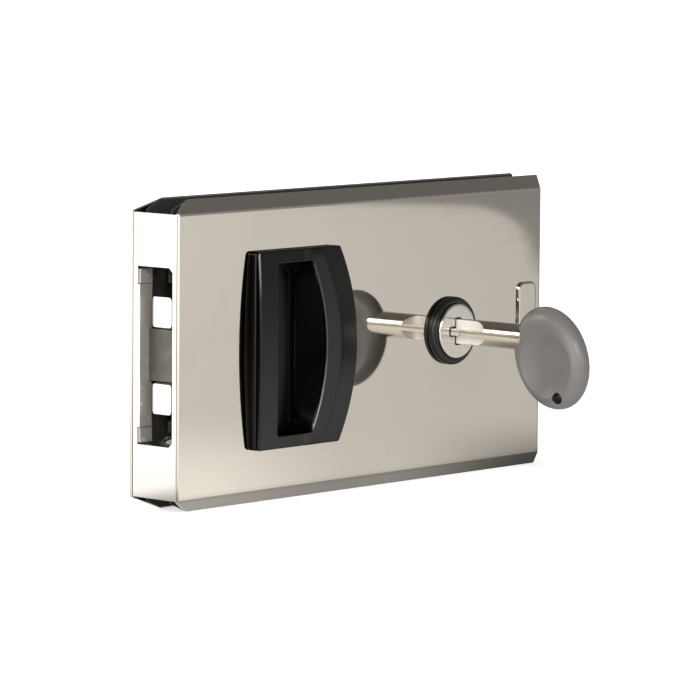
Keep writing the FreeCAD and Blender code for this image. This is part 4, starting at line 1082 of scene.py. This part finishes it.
def leaning_wall(share):
    """The cup's outline, from the bowed mouth to a foot whose trailing side is nearly straight."""
    return PULL_MOUTH._replace(right=between(PULL_MOUTH.right, CUP_FOOT, share),
                               right_bulge=between(PULL_MOUTH.right_bulge, CUP_FOOT_BULGE, share))


def cup_rings():
    """The cup's wall, which leans in and grows rounder with depth, and its rounded floor."""
    rings = []
    rim = -COVER_FACE - BASE_PROUD - GROOVE - BASE_CROWN
    foot = -CUP_FLOOR - CUP_FLOOR_ROUND
    steps = 9
    for share in [i / steps for i in range(steps)] + [0.96, 1.0]:
        y = between(rim, foot, share)
        corner = between(PULL_MOUTH.corner, CUP_CORNER, share ** 1.3)
        rings.append(raised(barrel_ring(leaning_wall(share), 0.0, corner), lambda x, z: y))
    floor = leaning_wall(1.0)
    for inset, down in fillet(CUP_FLOOR_ROUND, 6)[1:]:
        height = -CUP_FLOOR - down
        rings.append(raised(barrel_ring(floor, inset, CUP_CORNER - inset), lambda x, z: height))
    return rings


def pull_base():
    """The fixed base: a low crowned collar with a spigot through the cover."""
    opening = pull_opening()
    rings = [raised(barrel_ring(PULL_OUTLINE), lambda x, z: -COVER_FACE)]
    for inset, down in fillet(BASE_EDGE_ROUND):
        rings.append(raised(barrel_ring(PULL_OUTLINE, inset), lambda x, z: base_face(x, z) + down))
    start, end = barrel_ring(PULL_OUTLINE, BASE_EDGE_ROUND), barrel_ring(opening, -BASE_MOUTH_ROUND)
    for share in (0.05, 0.35, 0.65, 0.95):
        rings.append(raised(between_rings(start, end, share), base_face))
    for inset, down in reversed(fillet(BASE_MOUTH_ROUND, 3)):
        rings.append(raised(barrel_ring(opening, -inset), lambda x, z: base_face(x, z) + down))
    spigot = barrel_ring(opening, -SPIGOT_WALL)
    rings += [raised(barrel_ring(opening), lambda x, z: -SPIGOT_END),
              raised(spigot, lambda x, z: -SPIGOT_END),
              raised(spigot, lambda x, z: -COVER_FACE)]
    return loft(rings, wrap=True)


# The lock's ring and face, the knob and the key

def trim_ring():
    """A low ring with a bellied side and a rounded lip."""
    outer = (RING_HIGH.x - RING_LOW.x) / 2
    proud = -COVER_FACE - RING_LOW.y
    inner = FACE_DISC_RADIUS + 0.06
    profile = [(inner, 0.02), (outer - 0.35, 0.0), (outer - 0.1, 0.3), (outer, 0.7), (outer - 0.02, 0.95)]
    shoulder = 1.35
    for i in range(9):
        turn = math.radians(12 + 78 * i / 8)
        profile.append((outer - shoulder + shoulder * math.cos(turn) - 0.02,
                        proud - shoulder + shoulder * math.sin(turn)))
    profile += [(inner + 0.2, proud - 0.01), (inner + 0.04, proud - 0.12), (inner, proud - 0.3)]
    return lathe([(radius, -COVER_FACE - up) for radius, up in profile], LOCK_X, 0, 128, wrap=True)


def cross_outline(radius, arm):
    """A cross of four equal arms inside a round outline."""
    half = arm / 2
    edge = math.asin(half / radius)
    points = []
    for quarter in range(4):
        turn = quarter * math.pi / 2
        for i in range(7):
            a = turn - edge + 2 * edge * i / 6
            points.append((LOCK_X + radius * math.cos(a), radius * math.sin(a)))
        inner, corner = half * math.sqrt(2), turn + math.pi / 4
        points.append((LOCK_X + inner * math.cos(corner), inner * math.sin(corner)))
    return points


def cylinder_face():
    """The turning face disc with its cross keyway, on the plug."""
    front = DISC_LOW.y
    back = -COVER_FACE - 0.8
    profile = [(TAIL_RADIUS, DISC_HIGH.y), (TAIL_RADIUS, TAIL_START), (PLUG_RADIUS, TAIL_START),
               (PLUG_RADIUS, back), (FACE_DISC_RADIUS, back), (FACE_DISC_RADIUS, front + FACE_CHAMFER + 0.1)]
    for i in range(5):
        turn = math.radians(20 + 50 * i / 4)
        profile.append((FACE_DISC_RADIUS - FACE_CHAMFER + FACE_CHAMFER * math.cos(turn),
                        front + FACE_CHAMFER - FACE_CHAMFER * math.sin(turn)))
    profile += [(FACE_DISC_RADIUS - FACE_CHAMFER - 0.15, front), (FACE_DISC_RADIUS - 2.0, front)]
    disc = lathe(profile, LOCK_X, 0, 128)
    keyway = cross_outline(KEY_RADIUS + KEYWAY_CLEARANCE, KEY_ARM + 2 * KEYWAY_CLEARANCE)
    flare = cross_outline(KEY_RADIUS + KEYWAY_FLARE, KEY_ARM + 3 * KEYWAY_FLARE)
    combine(disc, [prism_y(keyway, front - 1.0, KEYWAY_END),
                   prism_y(flare, front - 1.0, front + FLARE_DEPTH)])
    return soften(disc, FACE_EDGE_ROUND, 2, 50.0)


def knob():
    """The far side's knob: a face disc with a rounded grip bar across it."""
    low, high = COVER_FACE + 0.3, COVER_FACE + KNOB_HEIGHT
    profile = [(SPINDLE_RADIUS, COVER_FACE - SHEET), (SPINDLE_RADIUS, low), (FACE_DISC_RADIUS, low),
               (FACE_DISC_RADIUS, high - FACE_CHAMFER)]
    for i in range(1, 6):
        turn = math.radians(90 * i / 5)
        profile.append((FACE_DISC_RADIUS - FACE_CHAMFER + FACE_CHAMFER * math.cos(turn),
                        high - FACE_CHAMFER + FACE_CHAMFER * math.sin(turn)))
    profile.append((FACE_DISC_RADIUS - 2.0, high))
    disc = lathe(profile, LOCK_X, 0, 128)
    half_long, half_wide = KNOB_HIGH.z, KNOB_GRIP_WIDTH / 2

    def grip_ring(inset, y):
        """Two half circles, one above the other."""
        ring = []
        radius = half_wide - inset
        for side, start in ((1, 0), (-1, math.pi)):
            for i in range(17):
                turn = start + math.pi * i / 16
                z = side * (half_long - half_wide) + radius * math.sin(turn)
                ring.append(Vector((LOCK_X + radius * math.cos(turn), y, z)))
        return ring

    rings = [grip_ring(-0.5, high - 0.5), grip_ring(-0.5, high + 0.02), grip_ring(-0.2, high + 0.2),
             grip_ring(0.0, high + 0.6), grip_ring(0.15, (high + KNOB_HIGH.y) / 2)]
    for inset, down in fillet(1.2, 6):
        rings.append(grip_ring(0.25 + inset, KNOB_HIGH.y - down))
    rings.append(grip_ring(0.25 + 1.5, KNOB_HIGH.y))
    grip = loft(rings)
    half_x, half_z = TONGUE_HALF
    tongue = block((LOCK_X - half_x, KNOB_LOW.y, -half_z),
                   (LOCK_X + half_x, COVER_FACE - SHEET + 0.5, half_z))
    return combine(disc, [grip, tongue], "UNION")


def key_blade():
    """The round shank with four scoops, milled with a wide cutter, that leave a cross."""
    tip, root = BLADE_HIGH.y, BOW_HIGH.y - SHANK_IN_BOW
    profile = [(KEY_RADIUS - 0.5, root), (KEY_RADIUS, root), (KEY_RADIUS, tip - KEY_TIP_CHAMFER),
               (KEY_RADIUS - KEY_TIP_CHAMFER, tip)]
    shank = lathe(profile, LOCK_X, 0, 96)
    half, outside = KEY_ARM / 2, KEY_RADIUS + 1.0
    last = math.acos(1 - (outside - half) / SCOOP_RADIUS)
    line = [(outside, tip + 1.0), (half, tip + 1.0)]
    for i in range(25):
        turn = last * i / 24
        line.append((half + SCOOP_RADIUS * (1 - math.cos(turn)),
                     -COVER_FACE - SCOOP_PROUD - SCOOP_RADIUS * math.sin(turn)))
    scoops = []
    for side_x in (1, -1):
        for side_z in (1, -1):
            scoops.append(loft([[Vector((LOCK_X + side_x * x, y, side_z * z)) for x, y in line]
                                for z in (half, outside)]))
    combine(shank, scoops)
    return soften(shank, KEY_EDGE_ROUND, 3, 40.0)


def key_bow():
    """The oval bow: a smooth pebble, dished for the thumb on both faces, with a ring hole."""
    middle = Vector((LOCK_X, (BOW_LOW.y + BOW_HIGH.y) / 2 + BOW_BACK, (BOW_LOW.z + BOW_HIGH.z) / 2))
    tilt = math.radians(BOW_TILT)
    rows, count = 64, 160

    def surface_point(side, long, short):
        """A point on one face, from a place in the bow's own plane."""
        share = min(math.hypot(long / (BOW_LONG / 2), short / (BOW_SHORT / 2)), 1.0)
        out = BOW_THICKNESS / 2 * math.sqrt(max(1 - share ** BOW_FULLNESS, 0.0))
        y = short * math.cos(tilt) + long * math.sin(tilt)
        z = long * math.cos(tilt) - short * math.sin(tilt)
        away = math.hypot(y, z + DISH_DROP) / DISH_RADIUS
        if away < 1.15:
            out = min(out, DISH_RIM - DISH_DEPTH * (1 - away ** 2))
        return middle + Vector((side * out, y, z))

    rings = []
    shares = [(1, i / rows) for i in range(rows + 1)] + [(-1, 1 - i / rows) for i in range(1, rows + 1)]
    for side, share in shares:
        reach = max(math.sin(share * math.pi / 2), 0.01)
        rings.append([surface_point(side, reach * BOW_LONG / 2 * long, reach * BOW_SHORT / 2 * short)
                      for long, short in circle(0.0, 0.0, 1.0, count)])
    bow = loft(rings)
    hole = circle(-KEY_HOLE_OUT, -KEY_HOLE_DROP, KEY_HOLE_RADIUS, 32)
    combine(bow, [loft([[middle + Vector((x, y, z)) for y, z in hole] for x in (-6.0, 6.0)])])
    return soften(bow, BOW_EDGE_ROUND, 4, 50.0)


def fixing_cap():
    """A low pad with rounded corners, over the through fixing."""
    half_x, half_z = (CAP_HIGH.x - CAP_LOW.x) / 2, (CAP_HIGH.z - CAP_LOW.z) / 2

    def pad_ring(inset, y):
        return [Vector((FIXING_X + x, y, z)) for x, z in
                rounded_rectangle(half_x - inset, half_z - inset, max(CAP_CORNER - inset, 0.3), 8)]

    spigot = circle(FIXING_X, 0.0, CAP_SPIGOT, 36, math.radians(5.0))
    rings = [[Vector((x, y, z)) for x, z in spigot] for y in (SHEET - COVER_FACE, -COVER_FACE)]
    rings.append(pad_ring(0.0, -COVER_FACE))
    for inset, down in fillet(CAP_RIM):
        rings.append(pad_ring(inset, CAP_LOW.y + down))
    rings.append(pad_ring(CAP_RIM + 0.3, CAP_LOW.y))
    return loft(rings)


# Pieces on the object

def dress_both_sides(make, names, finish, nodes):
    """Makes a piece for the key side and its mirror image for the far side."""
    near = make()
    far = mirrored(near)
    finish_piece(near, names[0], finish, [nodes[0]])
    finish_piece(far, names[1], finish, [nodes[1]])


def dress_covers_and_window():
    dress_both_sides(cover, ("front_cover", "rear_cover"), "polished_sheet",
                     ("front_cover_plate", "rear_cover_plate"))
    finish_piece(edge_plate(), "edge_face", "polished_steel", ["edge_plate"])
    finish_piece(window_strip(), "window_strip", "satin_strip", ["pocket_strip"])
    finish_piece(window_tray(), "window_back", "plated_steel", ["pocket_plate"])


def dress_hooks():
    upper = hook()
    bm = bmesh.new()
    bm.from_mesh(upper.data)
    bm.transform(Matrix.Scale(-1.0, 4, (0.0, 0.0, 1.0)))
    lower = as_object(bm)
    finish_piece(upper, "upper_hook_bolt", "polished_steel", ["upper_hook"])
    finish_piece(lower, "lower_hook_bolt", "polished_steel", ["lower_hook"])


def dress_pulls():
    """Two equal frames, of which the key side's has posts for the slide and the far side's has holes.

    Known fault: the frames' faces point inwards, so that the posts and the
    holes don't come out as they should.
    """
    front = pull()
    rear = mirrored(front)
    combine(front, pull_posts(), "UNION")
    combine(front, post_bores())
    combine(rear, countersunk_holes())
    for side in (front, rear):
        mark_coat(side, frame_face)
        mark_wear(side)
    finish_piece(front, "front_pull_frame", "satin_black", ["front_pull"])
    finish_piece(rear, "rear_pull_frame", "satin_black", ["rear_pull"])
    front = pull_base()
    rear = mirrored(front)
    mark_coat(front, base_face)
    mark_coat(rear, base_face)
    finish_piece(front, "front_pull_collar", "satin_black", ["front_pull_base"])
    finish_piece(rear, "rear_pull_collar", "satin_black", ["rear_pull_base"])


def dress_lock_and_key():
    dress_both_sides(trim_ring, ("lock_ring", "knob_collar"), "black_trim", ("cylinder_ring", "knob_ring"))
    dress_both_sides(fixing_cap, ("front_cap", "rear_cap"), "polished_sheet",
                     ("front_fixing_cap", "rear_fixing_cap"))
    finish_piece(cylinder_face(), "lock_face", "turned_face", ["cylinder_plug"])
    finish_piece(knob(), "far_knob", "nickel", ["turn_knob"])
    finish_piece(key_blade(), "key_shank", "nickel", ["key_blade"])
    finish_piece(key_bow(), "key_grip", "grey_grip", ["key_bow"], 60.0)


def dress_screws():
    """The screws, whose lengths come from the boxes of the CAD nodes that they stand for."""
    tree = screw_tree()
    outwards, inwards = -math.pi / 2, math.pi / 2
    low, high = node_box("pull_screws")
    countersink = SCREW_HEAD - SCREW_SHANK
    pull_set = screws(tree, POST_PLACES, CUP_FLOOR - SCREW_CLEARANCE, {
        "Turn": outwards, "Head Radius": SCREW_HEAD, "Seat Radius": SCREW_SHANK,
        "Head Height": countersink, "Shank Radius": SCREW_SHANK - SCREW_CLEARANCE,
        "Shank Length": CUP_FLOOR - countersink - low.y, "Finish": FINISHES["polished_steel"]})
    finish_piece(pull_set, "pull_screw_set", "polished_steel", ["pull_screws"])
    low, high = node_box("case_screws")
    case_set = screws(tree, case_screw_places(), low.y, {
        "Turn": inwards, "Head Radius": CASE_HEAD, "Seat Radius": CASE_HEAD,
        "Head Height": CASE_HEAD_HEIGHT, "Shank Radius": SCREW_SHANK - SCREW_CLEARANCE,
        "Shank Length": high.y - low.y - CASE_HEAD_HEIGHT, "Finish": FINISHES["plated_steel"]})
    finish_piece(case_set, "case_screw_set", "plated_steel", ["case_screws"])
    low, high = node_box("front_base_screws")
    base_places = [(BASE_SCREW_X, BASE_SCREW_Z), (BASE_SCREW_X, -BASE_SCREW_Z)]
    base_set = screws(tree, base_places, high.y, {
        "Turn": outwards, "Head Radius": BASE_HEAD, "Seat Radius": BASE_HEAD,
        "Head Height": BASE_HEAD_HEIGHT, "Shank Radius": BASE_SCREW_SHANK,
        "Shank Length": high.y - low.y - BASE_HEAD_HEIGHT, "Finish": FINISHES["plated_steel"]})
    far_set = mirrored(base_set)
    finish_piece(base_set, "front_base_screw_pair", "plated_steel", ["front_base_screws"])
    finish_piece(far_set, "rear_base_screw_pair", "plated_steel", ["rear_base_screws"])


CARRIED_FINISHES = {
    "cast_case": ("front_case_half", "rear_case_half"),
    "soft_gasket": ("front_gasket", "rear_gasket"),
    "pale_nylon": ("slide_guides", "bolt_guides", "fixing_sleeve"),
    "machined_brass": ("cylinder_body", "plug_pins", "driver_pins"),
    "satin_strip": ("pocket_strip_lugs",),
    "plated_steel": ("edge_rivets", "hook_pivots", "drive_slide", "drive_studs", "cylinder_nut",
                     "pin_springs", "lock_cam", "cam_clip", "locking_bolt", "fixing_screw", "fixing_nut"),
}


def dress_carried_pieces():
    """Gives the solids that stay as they are their finishes."""
    for finish, members in CARRIED_FINISHES.items():
        for member in members:
            carried = frame["nodes"][member]
            carried.data.materials.clear()
            carried.data.materials.append(FINISHES[finish])


# The studio

def soft_light(name, place, target, size, power):
    """A square soft box, in metres and watts."""
    lamp = bpy.data.lights.new(name, "AREA")
    lamp.shape = "SQUARE"
    lamp.size = size
    lamp.energy = power
    made = bpy.data.objects.new(name, lamp)
    made.location = place
    made.rotation_euler = (Vector(target) - Vector(place)).to_track_quat("-Z", "Y").to_euler()
    bpy.context.scene.collection.objects.link(made)


def dark_side(room, flat):
    """The unlit side of the room, round the camera's place."""
    unit = Vector((-0.72, -0.69, 0.0)).normalized()
    return room.vectors("DOT_PRODUCT", [flat, unit], "Value").above(0.90, 0.98)


def levelled(room, way):
    """A direction without its height."""
    return room.vectors("NORMALIZE", [room.vectors("MULTIPLY", [way, (1.0, 1.0, 0.0)])])


def studio_world():
    """White to the camera. Elsewhere a room with a dim ceiling, and a pale screen on the left."""
    world = bpy.data.worlds.new("studio")
    bpy.context.scene.world = world
    world.use_nodes = True
    room = Finish(world.node_tree)
    way = room.take("ShaderNodeTexCoord", {}, {}, "Generated")
    height = room.take("ShaderNodeSeparateXYZ", {}, [way], "Z")
    flat = levelled(room, way)
    left = room.vectors("DOT_PRODUCT", [flat, (-1.0, 0.0, 0.0)], "Value")
    screen = left.above(0.25, 0.75) * (1.0 - height.above(0.35, 0.7))
    walls = ROOM_LEVEL - height.above(0.2, 0.65) * 0.28
    light = walls * (1.0 - dark_side(room, flat) * 0.8) + screen
    glow = room.take("ShaderNodeBackground", {}, {"Color": (*ROOM_COLOUR, 1.0), "Strength": light})
    white = room.take("ShaderNodeBackground", {}, {"Color": (1.0, 1.0, 1.0, 1.0), "Strength": 1.0})
    seen = room.take("ShaderNodeLightPath", {}, {}, "Is Camera Ray")
    both = room.take("ShaderNodeMixShader", {}, [seen, glow, white])
    room.node("ShaderNodeOutputWorld", {}, {"Surface": both})


def board_level(floor):
    """How bright polished steel sees the floor: a pale board, brighter on the left, with a round corner.

    The board is the same for both covers. It is measured in metres, along and across the line on
    which a cover mirrors the camera's view. It darkens across that line and close to the covers.
    """
    x, y = floor.along("X"), floor.along("Y")
    out = y.math("ABSOLUTE", y)
    along = x * MIRROR_X + out * MIRROR_OUT
    across = x * MIRROR_OUT - out * MIRROR_X
    slope = 1.10 - across * 1.1
    level = slope.math("MINIMUM", slope, 1.85)
    near = 1.0 - along.above(0.06, 0.30)
    level = level + near * (0.50 - across.above(-0.005, 0.05) * 0.45 - across.above(0.06, 0.125) * 1.1)
    level = level * (0.40 + out.above(0.015, 0.045) * 0.60)
    past_side = (across - 0.112).math("MAXIMUM", across - 0.112, 0.0) / 0.030
    past_end = (along - 1.14).math("MAXIMUM", along - 1.14, 0.0) / 0.235
    beyond = (past_side * past_side + past_end * past_end).above(0.85, 1.15)
    return level + beyond * (ROOM_LEVEL * 0.85 - level)


def studio_floor():
    """A large pale floor. The camera sees white with a soft shadow, and polished steel the board."""
    level = COVER_LOW.z * MM
    reach = 14.0
    middle = Vector((LOCK_X / 2, 0.0, 0.0)) * MM
    mesh = bpy.data.meshes.new("studio_floor")
    corners = [(x * reach, y * reach, level) for x, y in ((-1, -1), (1, -1), (1, 1), (-1, 1))]
    mesh.from_pydata(corners, [], [(0, 1, 2, 3)])
    floor = bpy.data.objects.new("studio_floor", mesh)
    bpy.context.scene.collection.objects.link(floor)
    material = bpy.data.materials.new("pale_floor")
    material.use_nodes = True
    finish = Finish(material.node_tree)
    away = finish.vectors("SUBTRACT", [finish.place(), middle])
    distance = finish.vectors("LENGTH", [away], "Value")
    paper = finish.take("ShaderNodeBsdfDiffuse", {}, {"Color": (0.80, 0.80, 0.80, 1.0)})
    rays = finish.node("ShaderNodeLightPath", {}, {})
    camera_ray = Value(finish, rays.outputs["Is Camera Ray"])
    lift = camera_ray * (0.66 + distance.above(0.2, 0.6) * 0.5)
    lift = finish.take("ShaderNodeEmission", {}, {"Strength": lift})
    white_paper = finish.take("ShaderNodeAddShader", {}, [paper, lift])
    unlit = dark_side(finish, levelled(finish, away)) * distance.above(0.25, 0.6)
    seen = board_level(finish) * (1.0 - unlit * 0.85)
    board = finish.take("ShaderNodeEmission", {}, {"Color": (*ROOM_COLOUR, 1.0), "Strength": seen})
    glossy_ray = Value(finish, rays.outputs["Is Glossy Ray"])
    both = finish.take("ShaderNodeMixShader", {}, [glossy_ray, white_paper, board])
    finish.node("ShaderNodeOutputMaterial", {}, {"Surface": both})
    mesh.materials.append(material)


def photograph_camera():
    """The camera as it was fitted to the photograph."""
    camera = bpy.data.cameras.new("camera")
    camera.lens = CAMERA_LENS
    camera.sensor_width = CAMERA_SENSOR
    camera.clip_start = 0.05
    camera.clip_end = 60.0
    made = bpy.data.objects.new("camera", camera)
    right = math.cos(CAMERA_ROLL) * CAMERA_RIGHT + math.sin(CAMERA_ROLL) * CAMERA_UP
    up = math.cos(CAMERA_ROLL) * CAMERA_UP - math.sin(CAMERA_ROLL) * CAMERA_RIGHT
    right.normalize()
    back = right.cross(up).normalized()
    up = back.cross(right)
    made.matrix_world = Matrix.Translation(CAMERA_PLACE) @ Matrix((right, up, back)).transposed().to_4x4()
    bpy.context.scene.collection.objects.link(made)
    bpy.context.scene.camera = made


dress_covers_and_window()
dress_hooks()
dress_pulls()
dress_lock_and_key()
dress_screws()
dress_carried_pieces()

studio_world()
studio_floor()
photograph_camera()
soft_light("key_light", (-0.95, -1.1, 0.66), (0.09, 0.0, 0.0), 0.4, 8.5)
soft_light("front_light", (-0.30, -1.4, 0.35), (0.09, 0.0, 0.0), 0.5, 3.0)
soft_light("left_light", (-1.35, -0.25, 0.55), (0.05, 0.0, 0.0), 0.6, 4.0)
soft_light("edge_light", (-1.35, -0.35, 0.04), (0.05, 0.0, 0.0), 0.35, 2.5)
soft_light("rear_light", (0.3, 1.3, 1.0), (0.09, 0.0, 0.0), 0.6, 4.5)
bpy.context.scene.view_settings.view_transform = "Standard"
